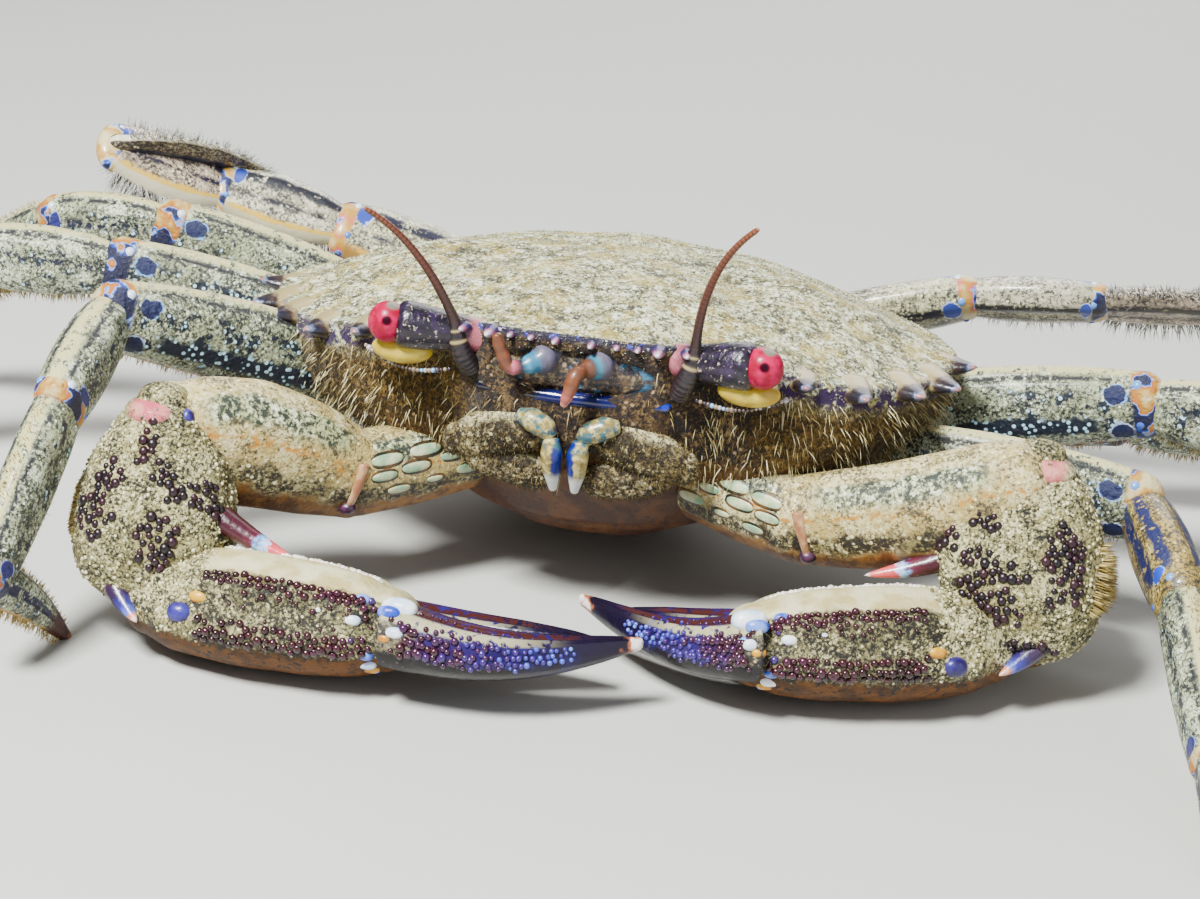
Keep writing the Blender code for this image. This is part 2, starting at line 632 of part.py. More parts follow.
def claw_frame(joints):
    """Directions of the palm: along it, towards the dactyl, and the way its inner face looks."""
    along = (Vector(joints["palm"]) - Vector(joints["wrist"])).normalized()
    up = Vector((0.0, 0.0, 1.0))
    up = (up - along * up.dot(along)).normalized()
    ahead = along.cross(up)
    if ahead.y > 0.0:
        ahead = -ahead
    high = up * math.cos(PALM_ROLL) + ahead * math.sin(PALM_ROLL)
    inner = up * math.sin(PALM_ROLL) - ahead * math.cos(PALM_ROLL)
    return along, high, inner


def finger_rings(start, end, high, inner, towards):
    """A curved finger; towards is +1 for the dactyl, which bows to the high side."""
    rings = []
    for along, width, thickness in FINGER:
        bow = high * FINGER_BOW * towards - inner * FINGER_SAG[towards]
        centre = start.lerp(end, along) + bow * math.sin(math.pi * along)
        rings.append(oval(centre, high, inner, width, thickness, 8))
    axis = (end - start).normalized()
    return rings, start - axis * 0.5, end + axis * 0.6


def build_carpus(side):
    middle_x, middle_y = CLAW_CARPUS_MIDDLE[side]
    across, along = Vector((1.0, 0.0, 0.0)), Vector((0.0, 1.0, 0.0))
    rings = []
    for height, width, depth in reversed(CLAW_CARPUS_LEVELS):
        lean = max((height - CLAW_CARPUS_LEVELS[3][0]) * CLAW_CARPUS_LEAN, 0.0)
        centre = Vector((middle_x, middle_y + lean, height))
        rings.append(oval(centre, across, along, width, depth, 14, 2.4))
    block = node("claw_carpus_" + side, mesh_of("claw_carpus", rings), "claw")
    inward = -SIDES[side]
    spines = []
    for root, tip, width in CLAW_CARPUS_SPINES:
        ends = [Vector((middle_x + p[0] * inward, middle_y + p[1], p[2])) for p in (root, tip)]
        spines.append(spine("spine", ends[0], ends[1], width, 0.9))
    fuse(block, spines)
    return block


def build_claw(side, shell, breast):
    joints = {key: Vector(value) for key, value in CLAW_JOINTS[side].items()}
    block = build_carpus(side)
    base_side = level_side(joints["root"], joints["hip"])
    rings = limb(joints["root"], joints["hip"], base_side, CLAW_BASE)
    base = node("claw_base_" + side, mesh_of("claw_base", *rings), "claw")
    carve(base, shell, breast)
    merus_side = level_side(joints["hip"], joints["knee"])
    rings = limb(joints["hip"], joints["knee"], merus_side, CLAW_MERUS, 12, CLAW_MERUS_BOW)
    arm = node("claw_merus_" + side, mesh_of("claw_merus", *rings), "claw")
    carve(arm, base, block, shell)
    along, high, inner = claw_frame(joints)
    rings = []
    for share, width, thickness in PALM:
        centre = joints["wrist"].lerp(joints["palm"], share)
        rings.append(oval(centre, high, inner, width, thickness, 14, 2.5))
    palm = node("claw_palm_" + side, mesh_of("claw_palm", rings), "claw")
    start = joints["palm"] - high * FINGER_SETOUT - along * FINGER_SUNK
    fuse(palm, [piece_of("finger", *finger_rings(start, joints["finger"], high, inner, -1.0))])
    carve(palm, block)
    flatten_foot(palm)
    start = joints["palm"] + high * FINGER_SETOUT - along * FINGER_SUNK * 0.5
    rings = finger_rings(start, joints["dactyl"], high, inner, 1.0)
    dactyl = node("claw_dactyl_" + side, mesh_of("claw_dactyl", *rings), "finger")
    carve(dactyl, palm)
    flatten_foot(dactyl)
    return [base, arm, block, palm, dactyl]


def build_walking_legs(shell, breast):
    for name, pose in LEG_POSES.items():
        pair, side = int(name[0]), name[2]
        root = mirror(LEG_ROOTS[pair], side)
        made = build_leg(name, root, LEG_LENGTHS[pair], pose, (MERUS, CARPUS, PROPODUS, DACTYL))
        carve(made[0], shell, breast)
        flatten_foot(made[3])


def build_swimming_legs(shell, breast, flap):
    forms = (SWIM_MERUS, SWIM_CARPUS, SWIM_PROPODUS, PADDLE)
    for side, pose in SWIM_POSES.items():
        root = mirror(SWIM_ROOT, side)
        made = build_leg("5_" + side, root, SWIM_LENGTHS, pose, forms, SWIM_TWIST[side])
        carve(made[0], shell, breast, flap)
        carve(made[3], made[1])


def build_crab():
    clear_scene()
    shell = build_carapace()
    breast = build_thorax(shell)
    flap = build_abdomen(shell, breast)
    for side in SIDES:
        build_maxilliped(side, shell, breast)
        stalk, _ = build_eye(side, shell)
        build_feelers(side, shell, stalk)
        build_claw(side, shell, breast)
    build_walking_legs(shell, breast)
    build_swimming_legs(shell, breast, flap)


build_crab()
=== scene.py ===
# %% [markdown]
# # A velvet crab as a museum model
#
# A velvet crab is a swimming crab about 80 mm across the shell. Its back is covered in short, muddy
# velvet, its eyes are crimson, and blue and violet show at its joints, claws and brow. We build the
# visible animal here, over plain solids that already give every part its size and place.
# The first cell loads those solids; the finished animal has to fit their box.

# %% Load the solids and the tools
import json
import math

import bpy
import numpy as np
from mathutils import Matrix, Vector, noise

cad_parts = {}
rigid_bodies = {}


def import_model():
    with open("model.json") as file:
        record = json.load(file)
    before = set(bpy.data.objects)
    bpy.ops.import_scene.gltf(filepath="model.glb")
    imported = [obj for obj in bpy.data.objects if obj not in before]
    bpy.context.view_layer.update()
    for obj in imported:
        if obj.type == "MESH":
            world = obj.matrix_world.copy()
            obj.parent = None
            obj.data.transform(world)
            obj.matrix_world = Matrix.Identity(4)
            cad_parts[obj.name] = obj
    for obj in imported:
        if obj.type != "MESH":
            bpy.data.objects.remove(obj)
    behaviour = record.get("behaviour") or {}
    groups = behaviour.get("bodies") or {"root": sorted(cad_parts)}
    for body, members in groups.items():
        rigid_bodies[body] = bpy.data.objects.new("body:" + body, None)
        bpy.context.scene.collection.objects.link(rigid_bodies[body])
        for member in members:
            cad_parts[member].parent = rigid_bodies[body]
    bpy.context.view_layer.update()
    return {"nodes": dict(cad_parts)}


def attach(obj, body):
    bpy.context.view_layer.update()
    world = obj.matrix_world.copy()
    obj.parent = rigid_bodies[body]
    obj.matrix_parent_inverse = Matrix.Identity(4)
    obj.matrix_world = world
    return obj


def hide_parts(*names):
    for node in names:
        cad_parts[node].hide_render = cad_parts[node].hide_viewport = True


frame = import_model()
MM = 0.001
# Points below are in millimetres, with the crab's own middle as the origin of x and y. MIDDLE takes
# them to the model's origin, and +Z is up. The crab faces -Y, so its left side is +X.
MIDDLE = np.array([3.3, -14.9, 0.0])
SIDES = {"l": 1, "r": -1}
UP = np.array([0.0, 0.0, 1.0])
SIDEWAYS = np.array([1.0, 0.0, 0.0])
print("solids:", len(frame["nodes"]))

# %% [markdown]
# The photograph was taken from in front and a little above. The camera stands where the outline of
# the solids falls on the animal in the photo: turned 9 degrees to the side, 22.5 degrees up, and
# rolled by 4 degrees. We turn those angles into the camera's own three directions.

# %% Camera
AZIMUTH, ELEVATION, ROLL = 0.161233402, 0.393471179, 0.0680428064
FOCAL_PIXELS = 2471.22808
PHOTO_WIDTH = 1200
SENSOR = 36
AIM = np.array([0.0, -20.0, 26.5])
STAND_OFF = (0.916785602, -9.56969339, 260)


def added(operator, name, **settings):
    """Adds an object with the command that the Add menu runs, and names it."""
    bpy.ops.object.select_all(action="DESELECT")
    operator(**settings)
    bpy.context.object.name = name
    return bpy.context.object


back_way = np.array([
    math.sin(AZIMUTH) * math.cos(ELEVATION), -math.cos(AZIMUTH) * math.cos(ELEVATION), math.sin(ELEVATION),
])
level_right = np.cross(-back_way, UP)
level_right /= np.linalg.norm(level_right)
level_up = np.cross(level_right, -back_way)
camera_right = level_right * math.cos(ROLL) + level_up * math.sin(ROLL)
camera_up = level_up * math.cos(ROLL) - level_right * math.sin(ROLL)
eye_point = AIM + camera_right * STAND_OFF[0] + camera_up * STAND_OFF[1] + back_way * STAND_OFF[2]

camera = added(bpy.ops.object.camera_add, "camera")
camera.data.sensor_width = SENSOR
camera.data.lens = FOCAL_PIXELS / PHOTO_WIDTH * SENSOR
camera.data.clip_start = 0.01
place = (eye_point - MIDDLE) * MM
rows = [[camera_right[i], camera_up[i], back_way[i], place[i]] for i in range(3)]
camera.matrix_world = Matrix(rows + [[0, 0, 0, 1]])
bpy.context.scene.camera = camera
print("camera", np.round(place, 4))

# %% [markdown]
# Nearly every part of a crab is a tube of hard shell that swells and narrows. By hand we would roll
# a flat sheet into a tube and stretch it over the form. The next cell does just that: it adds a flat
# grid, which brings its own UV map, rolls it with a rule for each part, and sews the seam shut. The
# UV map is kept under the name Form: u runs round the part and v along it, so stripes and bands can
# follow the shell.

# %% Rolling a grid into a part
SEAM = 0.002


def unit(vector):
    return np.asarray(vector, float) / np.linalg.norm(vector)


def units(rows):
    return rows / np.linalg.norm(rows, axis=1)[:, None]


def clamp(values):
    return np.clip(values, 0.0, 1.0)


def read(items, key, width=0, kind=float):
    """One property of a mesh's points or corners, as an array; width is how many numbers each has."""
    values = np.empty(len(items) * max(width, 1), dtype=kind)
    items.foreach_get(key, values)
    return values.reshape(-1, width) if width else values


def set_points(piece, points):
    piece.data.vertices.foreach_set("co", ((points - MIDDLE) * MM).ravel())
    piece.data.update()


def roll(name, around, along, form):
    """A grid laid over a form: form(u, v) gives points, and v's of its own for the UV map."""
    grid = bpy.ops.mesh.primitive_grid_add
    piece = added(grid, name, x_subdivisions=around, y_subdivisions=along, size=1)
    mesh = piece.data
    u, v = (column + 0.5 for column in read(mesh.vertices, "co", 3).T[:2])
    points, along_v = form(u, v)
    set_points(piece, points)
    corners = read(mesh.loops, "vertex_index", kind=np.int32)
    sheet = mesh.uv_layers[0]
    sheet.name = "Form"
    sheet.data.foreach_set("uv", np.stack([u[corners], along_v[corners]], axis=1).ravel())
    bpy.ops.object.mode_set(mode="EDIT")
    bpy.ops.mesh.select_all(action="SELECT")
    bpy.ops.mesh.remove_doubles(threshold=SEAM * MM)
    bpy.ops.mesh.normals_make_consistent(inside=False)
    bpy.ops.object.mode_set(mode="OBJECT")
    bpy.ops.object.shade_smooth()
    return piece


def join(name, pieces):
    bpy.ops.object.select_all(action="DESELECT")
    for piece in pieces:
        piece.select_set(True)
    bpy.context.view_layer.objects.active = pieces[0]
    if len(pieces) > 1:
        bpy.ops.object.join()
    pieces[0].name = name
    return pieces[0]


def finish(piece, paint, slot, *nodes):
    """Gives a finished piece its material and its body, and hides the solids that it stands for."""
    piece.data.materials.clear()
    piece.data.materials.append(paint)
    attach(piece, "root")
    if nodes:
        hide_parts(*nodes)
    print(piece.name, len(piece.data.vertices), "points")


# %% [markdown]
# A joint of a leg or claw is given by a few stations: how far along it is, how wide and how thick.
# Straight lines between stations would leave creases, so we blur them into a smooth curve first.
# Both ends close in a dome. Low ridges and grooves run along most joints, and each is a small swell
# at one angle round the section.

# %% The form of a limb joint
CURVE_STEPS, CURVE_SPACING = np.linspace(-0.2, 1.2, 281), 0.005


def smooth_curve(places, values, blur=0.05):
    """A function that runs smoothly through values given at places from 0 to 1."""
    values = np.interp(CURVE_STEPS, places, values)
    width = int(blur / CURVE_SPACING)
    kernel = np.exp(-np.linspace(-2, 2, 4 * width + 1) ** 2)
    padded = np.concatenate([np.full(2 * width, values[0]), values, np.full(2 * width, values[-1])])
    smooth = np.convolve(padded, kernel / kernel.sum(), mode="valid")
    return lambda t: np.interp(t, CURVE_STEPS, smooth)


def section(u, power):
    """Points of a rounded section, from -1 to 1: u = 0 looks along the width."""
    angle = 2 * np.pi * u
    return [np.sign(way) * np.abs(way) ** (2 / power) for way in (np.cos(angle), np.sin(angle))]


def turns_apart(u, place):
    """How far u is from a place round the section, 0 to 0.5."""
    return np.abs((u - place + 0.5) % 1 - 0.5)


def swell(u, ridges):
    """How far ridges (place round the section, height, width) lift the surface."""
    return sum((height * np.exp(-(turns_apart(u, middle) / wide) ** 2) for middle, height, wide in ridges), u * 0)


def domed(v, first, last):
    """Spreads v over a joint with a dome at each end: place along it and the dome's share."""
    t = -first + (1 + first + last) * (0.5 - 0.5 * np.cos(np.pi * v))
    beyond = np.maximum(clamp(-t / first), clamp((t - 1) / last))
    return t, np.sqrt(clamp(1 - beyond ** 2))


def limb(start, end, wide, flat, stations, bend=0, power=2.3, ridges=(), ends=(0.3, 0.35)):
    """The form of a joint. wide and flat are its section's directions; bend moves its middle."""
    length = np.linalg.norm(end - start)
    places, widths, depths = np.transpose(stations)
    width_at, depth_at = smooth_curve(places, widths), smooth_curve(places, depths)
    first, last = widths[0] * ends[0] / length, widths[-1] * ends[1] / length

    def form(u, v):
        t, dome = domed(v, first, last)
        inside = clamp(t)
        x, y = section(u, power)
        lift = swell(u, ridges) * np.sin(np.pi * np.clip(inside, 0.02, 0.98)) ** 0.4
        x = x * (width_at(inside) / 2 + lift) * dome
        y = y * (depth_at(inside) / 2 + lift) * dome
        middle = start + (end - start) * t[:, None] + np.outer(np.sin(np.pi * inside), wide * 0 + bend)
        return middle + wide * x[:, None] + flat * y[:, None], inside

    return form


def limb_ways(start, end, twist=0.0):
    """Directions of the section: its width, as near upwards as it can be, and its flat face."""
    axis = unit(end - start)
    side = unit(np.cross(end - start, UP))
    if twist:
        c, s = math.cos(twist), math.sin(twist)
        side = side * c + np.cross(axis, side) * s + axis * np.dot(axis, side) * (1 - c)
    flat = unit(side - axis * np.dot(side, axis))
    wide = np.cross(flat, axis)
    return (-wide, -flat) if wide[2] < 0 else (wide, flat)


print("width and flat face of a level joint:", *limb_ways(UP * 0, SIDEWAYS))

# %% [markdown]
# Materials come before the pieces, so that each piece can be painted as it is made. Two small
# classes keep the node work short. The first one is a Value: what a node gives out. Sums with it are
# written like sums with numbers, and each of them adds one Math node.

# %% Sums with values
def operation(name, swapped=False):
    def act(self, other=0):
        first, second = (other, self) if swapped else (self, other)
        return self.paint.maths(name, first, second)
    return act


class Value:
    """What a node gives out, ready for sums."""
    def __init__(self, paint, socket):
        self.paint, self.socket = paint, socket

    __add__, __sub__, __rsub__ = operation("ADD"), operation("SUBTRACT"), operation("SUBTRACT", True)
    __mul__, __truediv__ = operation("MULTIPLY"), operation("DIVIDE")
    __mod__, __abs__ = operation("FLOORED_MODULO"), operation("ABSOLUTE")


print("sums that a value knows:", [name for name in vars(Value) if callable(vars(Value)[name])][1:])

# %% [markdown]
# The second one is a Paint. Every method adds one kind of node and gives its value, and over() lays
# a new colour on the colour so far. Patterns read the object's own coordinates, or the Form map
# where they follow the shell.

# %% A painter for materials
class Paint:
    def __init__(self, name, roughness=0.55, coat=0, specular=0.5):
        self.made = bpy.data.materials.new(name)
        self.made.use_nodes = True
        self.shader = self.made.node_tree.nodes["Principled BSDF"]
        self.set(self.shader, {
            "Roughness": roughness, "Specular IOR Level": specular, "Coat Weight": coat, "Coat Roughness": 0.12,
        })
        self.object = self.node("TexCoord", "Object")
        self.u, self.v, rest = self.parts(self.node("UVMap", "UV", uv_map="Form"))
        self.x, self.y, self.z = self.parts(self.object)

    def set(self, node, inputs):
        """Gives a node's inputs their numbers and colours, or joins them to values."""
        for key, value in inputs.items():
            socket = node.inputs[key]
            if isinstance(value, Value):
                self.made.node_tree.links.new(value.socket, socket)
            else:
                socket.default_value = (*value, 1) if socket.type == "RGBA" else value

    def node(self, kind, output, inputs={}, **settings):
        node = self.made.node_tree.nodes.new("ShaderNode" + kind)
        for key, value in settings.items():
            setattr(node, key, value)
        self.set(node, inputs)
        return Value(self, node.outputs[output])

    def parts(self, place):
        split = self.node("SeparateXYZ", 0, {0: place}).socket.node
        return [Value(self, socket) for socket in split.outputs]

    def maths(self, name, a, b=0):
        return self.node("Math", 0, {0: a, 1: b}, operation=name)

    def noise(self, size, detail=4, rough=0.55, stretch=None):
        """Cloudy values from 0 to 1; size is the width of a cloud in millimetres."""
        place = self.object
        if stretch:
            place = self.node("Mapping", "Vector", {"Scale": stretch, "Vector": place})
        return self.node("TexNoise", "Fac", {
            "Scale": 1000 / size, "Detail": detail, "Roughness": rough, "Vector": place,
        })

    def cells(self, size):
        """Distance from the middle of the nearest cell, 0 at its middle."""
        return self.node("TexVoronoi", "Distance", {"Scale": 1000 / size, "Vector": self.object})

    def step(self, value, low, high):
        """0 below low, 1 above high, smooth between; low may be the larger."""
        ends = (low, high, 0, 1) if low < high else (high, low, 1, 0)
        inputs = dict(zip(("From Min", "From Max", "To Min", "To Max"), ends), Value=value)
        return self.node("MapRange", "Result", inputs, interpolation_type="SMOOTHSTEP")

    def patches(self, low, high, *cloud):
        """1 where a noise is above high, 0 where it is below low."""
        return self.step(self.noise(*cloud), low, high)

    def band(self, value, low, high, soft):
        """1 between low and high."""
        return self.step(value, low - soft, low + soft) * self.step(value, high + soft, high - soft)

    def wander(self, amount, *cloud):
        """A noise about 0, to make an edge uneven."""
        return (self.noise(*cloud) - 0.5) * amount

    def mix(self, amount, first, second):
        return self.node("Mix", 2, {0: amount, 6: first, 7: second}, data_type="RGBA")

    def over(self, amount, colour):
        self.colour = self.mix(amount, self.colour, colour)

    def clouded(self, low, high, size, detail, first, second):
        return self.mix(self.patches(low, high, size, detail), first, second)

    def away(self, place):
        """How far u is from a place round the section, 0 to 0.5."""
        return abs((self.u - place + 0.5) % 1 - 0.5)

    def spot(self, centre, radius, soft=0.25):
        """1 inside a ball round a point of the crab, given in millimetres."""
        point = (np.asarray(centre) - MIDDLE) * MM
        far = self.node("VectorMath", "Value", {0: self.object, 1: point}, operation="DISTANCE")
        edge = radius * MM
        return self.step(far, edge * (1 + soft), edge * (1 - soft))

    def shade(self):
        """The value that each small copy of a joined piece carries, from 0 to 1."""
        return self.node("Attribute", "Fac", attribute_name="Shade")

    def ramp(self, value, stops):
        """Colours along a value: stops are (place, colour)."""
        ramp = self.node("ValToRGB", "Color", {"Fac": value})
        marks = ramp.socket.node.color_ramp.elements
        while len(marks) < len(stops):
            marks.new(0.5)
        for mark, (place, colour) in zip(marks, stops):
            mark.position, mark.color = place, (*colour, 1)
        return ramp

    def bump(self, height, depth, strength, before=None):
        inputs = {"Strength": strength, "Distance": depth * MM, "Height": height}
        return self.node("Bump", "Normal", {**inputs, "Normal": before} if before else inputs)

    def grain(self, depth, strength, *cloud):
        return self.bump(self.noise(*cloud), depth, strength)

    def done(self, normal=None, roughness=None):
        found = {"Base Color": self.colour, "Normal": normal, "Roughness": roughness}
        self.set(self.shader, {key: value for key, value in found.items() if value is not None})
        return self.made


CREAM = (0.6, 0.57, 0.36)
NAVY = (0.006, 0.01, 0.06)
SKY = (0.16, 0.38, 0.8)
WHITE = (0.82, 0.82, 0.86)
YELLOW = (0.62, 0.38, 0.03)
print("ways to paint:", [name for name in vars(Paint) if name[0] != "_"])

# %% [markdown]
# The velvet is short fur full of mud: cream and sandy clouds, with dark olive, black and yellowish
# specks a fraction of a millimetre wide. Down the flanks it turns to olive and orange-brown. The
# painter mixes these from three sizes of noise, and the finest one is also the bump.

# %% Velvet of the back
def speckled(paint, light, middle, dark, fine, cover):
    """Muddy velvet: clouds of two light colours, dark specks over a share of it, pale grains."""
    clouds = paint.noise(5, 4) + paint.noise(fine * 1.3, 3) * 0.9
    base = paint.mix(paint.step(clouds, 0.84, 1.06), middle, light)
    patches = paint.noise(2.4, 5, 0.65) * 0.5
    specks = paint.noise(fine * 0.8, 4, 0.8) + patches
    edge = 0.88 - 0.26 * cover
    soft = tuple(0.45 * a + 0.55 * b for a, b in zip(middle, dark))
    base = paint.mix(paint.step(specks, edge - 0.09, edge - 0.02), base, soft)
    base = paint.mix(paint.step(specks, edge - 0.01, edge + 0.05), base, dark)
    grains = paint.step(paint.cells(fine * 1.8), 0.26, 0.12) * paint.patches(0.45, 0.55, 1.6, 2)
    pale = tuple(min(value * 1.35 + 0.05, 0.85) for value in light)
    return paint.mix(grains, base, pale)


def back_colour(paint):
    """Sand and cream with olive, chalky and yellow clouds, and a few dark streaks."""
    paint.colour = speckled(paint, (0.76, 0.78, 0.57), (0.48, 0.45, 0.23), (0.035, 0.032, 0.02), 0.5, 0.46)
    for cover, colour, low, high, *cloud in (
        (0.5, (0.2, 0.17, 0.05), 0.53, 0.6, 1.5, 5, 0.7), (0.8, (0.8, 0.82, 0.66), 0.54, 0.62, 1.1, 5, 0.7),
        (0.4, (0.46, 0.33, 0.05), 0.5, 0.6, 4, 5, 0.65),
        (0.8, (0.045, 0.038, 0.025), 0.6, 0.66, 1.8, 5, 0.75, (0.45, 1, 1)),
    ):
        paint.over(paint.patches(low, high, *cloud) * cover, colour)


def shell_velvet():
    paint = Paint("shell_velvet", 0.8, specular=0.25)
    paint.set(paint.shader, {"Sheen Weight": 0.1, "Sheen Roughness": 0.5})
    back_colour(paint)
    flank = speckled(paint, (0.21, 0.125, 0.026), (0.095, 0.05, 0.008), (0.022, 0.012, 0.003), 0.6, 0.45)
    flank = paint.mix(paint.step(paint.v, 0.74, 0.9), flank, (0.1, 0.038, 0.006))
    paint.over(paint.step(paint.v, 0.605, 0.67), flank)
    edge = paint.band(paint.v, 0.595, 0.64, 0.012) * paint.patches(0.4, 0.5, 1.6, 3)
    paint.over(edge, (0.025, 0.01, 0.05))
    brow = paint.step(abs(paint.x), 0.0165, 0.0135) * paint.step(paint.y, 0.002, -0.006)
    under = speckled(paint, (0.16, 0.1, 0.04), (0.06, 0.03, 0.012), (0.01, 0.007, 0.008), 0.6, 0.5)
    paint.over(brow * paint.band(paint.v, 0.6, 0.8, 0.01), under)
    brow = brow * paint.band(paint.v, 0.59, 0.604, 0.003)
    glint = paint.clouded(0.56, 0.66, 1.3, 3, (0.008, 0.005, 0.02), (0.03, 0.03, 0.28))
    paint.over(brow, paint.mix(paint.patches(0.62, 0.68, 0.9, 3), glint, (0.42, 0.3, 0.4)))
    normal = paint.bump(paint.noise(2.2, 4), 0.6, 0.6, paint.grain(0.3, 0.9, 0.45, 3, 0.7))
    return paint.done(normal, 0.82 - brow * 0.5)


VELVET = shell_velvet()
print("painted", VELVET.name)

# %% [markdown]
# The carapace is one broad shield. Its rim is a closed curve through a few named points, the crown
# rises inside it, and the flanks curl in underneath to the mouth and the legs. Two numbers run the
# whole form: u round the rim, and v from the crown, over the rim at 0.6, to the belly. Two eye
# sockets and a hollow over the mouth are pressed in by moving the points that lie inside an egg
# shape back to its far side.

# %% The carapace
PITCH = math.radians(5)
BODY_HEIGHT = 26.5
RIM = [
    (0, -31.4, 3.2), (5, -31.4, 3.2), (9.3, -30.6, 3.1), (12, -28.6, 2.7), (16.5, -27.2, 2.2),
    (21, -27.4, 1.2), (24, -26.4, 0.4), (28.8, -23.4, -0.7), (33.2, -18.8, -1), (36, -13.4, -1.2),
    (37.6, -8, -0.6), (36.9, -2, -0.7), (33.6, 6.5, -1.1), (28.8, 15, -1.9), (23.4, 22, -2.8),
    (18.4, 27, -3.6), (10, 28.8, -3.5), (0, 29.2, -3.3),
]
CROWN = np.array([0.0, -5.0, 6.3])
LOBES = [
    (7.5, -18.5, 0.8, 5.5), (0, -10, 0.4, 5), (21, -7, 1, 8), (0, 9, 0.7, 5.5), (13.5, -9, -0.8, 4),
    (7.5, 3, -0.6, 4), (15, 11, 0.5, 7), (4.5, 0, -0.45, 1.6), (9.5, -4.5, -0.5, 1.8), (6, -24.5, 0.5, 2.6),
    (14, -21.5, 0.4, 3),
]
SOCKET = ((17.2, -30.2, 1.4), (6, 3.6, 3.9))
MOUTH_HOLLOW = ((0, -31.2, -0.6), (9.4, 2.6, 2.3))
RIM_V, BELLY_V = 0.6, 0.94
BELLY_POINT = np.array([0.0, -2.0, -12.1])


def body(points):
    """Points of the body's own frame, nose up, in the crab's."""
    x, y, z = np.moveaxis(np.asarray(points, float), -1, 0)
    c, s = math.cos(PITCH), math.sin(PITCH)
    return np.stack([x, y * c + z * s, z * c - y * s + BODY_HEIGHT], axis=-1)


def on_side(point, side):
    """A point of the body, given for the left side, on either side."""
    return body(np.multiply(point, (SIDES[side], 1, 1)))


def rim_curve(u):
    """A smooth closed curve through the points of the rim."""
    points = np.array(RIM + [(-x, y, z) for x, y, z in reversed(RIM[1:-1])])
    place = (u % 1) * len(points)
    index = np.floor(place).astype(int)
    t = (place - index)[:, None]
    a, b, c, d = (points[(index + k) % len(points)] for k in (-1, 0, 1, 2))
    return 0.5 * (2 * b + (c - a) * t + (2 * a - 5 * b + 4 * c - d) * t ** 2 + (3 * b - a - 3 * c + d) * t ** 3)


def press(points, centre, radii):
    """Moves points inside an egg back to its rear wall."""
    away = (points - centre) / radii
    side = 1 - away[:, 0] ** 2 - away[:, 2] ** 2
    deep = np.sqrt(clamp(side))
    inside = (side > 0) & (np.abs(away[:, 1]) < deep)
    points[inside, 1] = (centre[1] + radii[1] * deep)[inside]


def carapace_form(u, v):
    edge = rim_curve(u)
    share = clamp(v / RIM_V)
    top = CROWN + (edge - CROWN) * share[:, None]
    relief = np.zeros_like(u)
    for lobe_x, lobe_y, height, radius in LOBES:
        relief += height * np.exp(-((np.abs(top[:, 0]) - lobe_x) ** 2 + (top[:, 1] - lobe_y) ** 2) / radius ** 2)
    top[:, 2] = edge[:, 2] + (CROWN[2] - edge[:, 2]) * (1 - share ** 2.2)
    top[:, 2] += relief * (1 - share ** 4)
    turn = clamp((v - RIM_V) / 0.34) * np.pi / 2
    rear = clamp((edge[:, 1] + 2) / 26)
    low = -12.5 + 6 * rear * rear * (3 - 2 * rear)
    flank = edge.copy()
    flank[:, 0] *= 0.72 + 0.28 * np.cos(turn)
    flank[:, 1] *= 0.86 + 0.14 * np.cos(turn)
    flank[:, 2] += (low - edge[:, 2]) * np.sin(turn)
    shut = clamp((v - BELLY_V) / 0.06)[:, None]
    flank = flank * (1 - shut) + BELLY_POINT * shut
    points = np.where((v <= RIM_V)[:, None], top, flank)
    points[:, 2] += 0.25 * np.exp(-((v - 0.59) / 0.012) ** 2)
    for side in SIDES.values():
        press(points, np.multiply(SOCKET[0], (side, 1, 1)), SOCKET[1])
    press(points, *MOUTH_HOLLOW)
    return body(points), v


carapace = roll("carapace_shell", 306, 120, carapace_form)
finish(carapace, VELVET, "shell", "carapace")

# %% [markdown]
# Teeth and spines are cones with a slightly swollen body. Along each one the colour runs from the
# velvet of its root through violet-black to a pale blue or pink glint at the tip, so their paint is
# a colour ramp on the v of the Form map.

# %% Teeth of the rim and the brow
def tooth_paint(name, stops):
    paint = Paint(name, 0.35, coat=0.3)
    paint.colour = paint.ramp(paint.v + paint.wander(0.35, 0.8, 3), stops)
    return paint.done(paint.grain(0.2, 0.4, 0.5, 3))


TOOTH = tooth_paint("tooth_violet", [
    (0, (0.36, 0.28, 0.12)), (0.5, (0.3, 0.23, 0.1)), (0.62, (0.03, 0.014, 0.014)), (0.74, (0.008, 0.005, 0.01)),
    (0.84, (0.012, 0.01, 0.03)), (0.9, (0.14, 0.2, 0.34)), (0.95, (0.3, 0.1, 0.12)), (1, (0.4, 0.28, 0.26)),
])
BROW_TOOTH = tooth_paint("tooth_pink", [
    (0, (0.01, 0.006, 0.02)), (0.45, (0.03, 0.015, 0.1)), (0.62, (0.26, 0.07, 0.13)), (0.8, (0.46, 0.3, 0.42)),
    (1, WHITE),
])
SPINE = tooth_paint("spine_maroon", [
    (0, (0.03, 0.004, 0.01)), (0.4, (0.05, 0.004, 0.014)), (0.52, (0.1, 0.01, 0.03)), (0.58, SKY),
    (0.63, (0.45, 0.55, 0.85)), (0.68, (0.55, 0.05, 0.08)), (0.92, (0.75, 0.1, 0.1)), (1, WHITE),
])
SPINE_BLUE = tooth_paint("spine_blue", [
    (0, (0.03, 0.008, 0.02)), (0.4, (0.02, 0.008, 0.05)), (0.62, (0.02, 0.02, 0.24)), (0.76, (0.1, 0.14, 0.5)),
    (0.86, (0.66, 0.17, 0.015)), (1, WHITE),
])
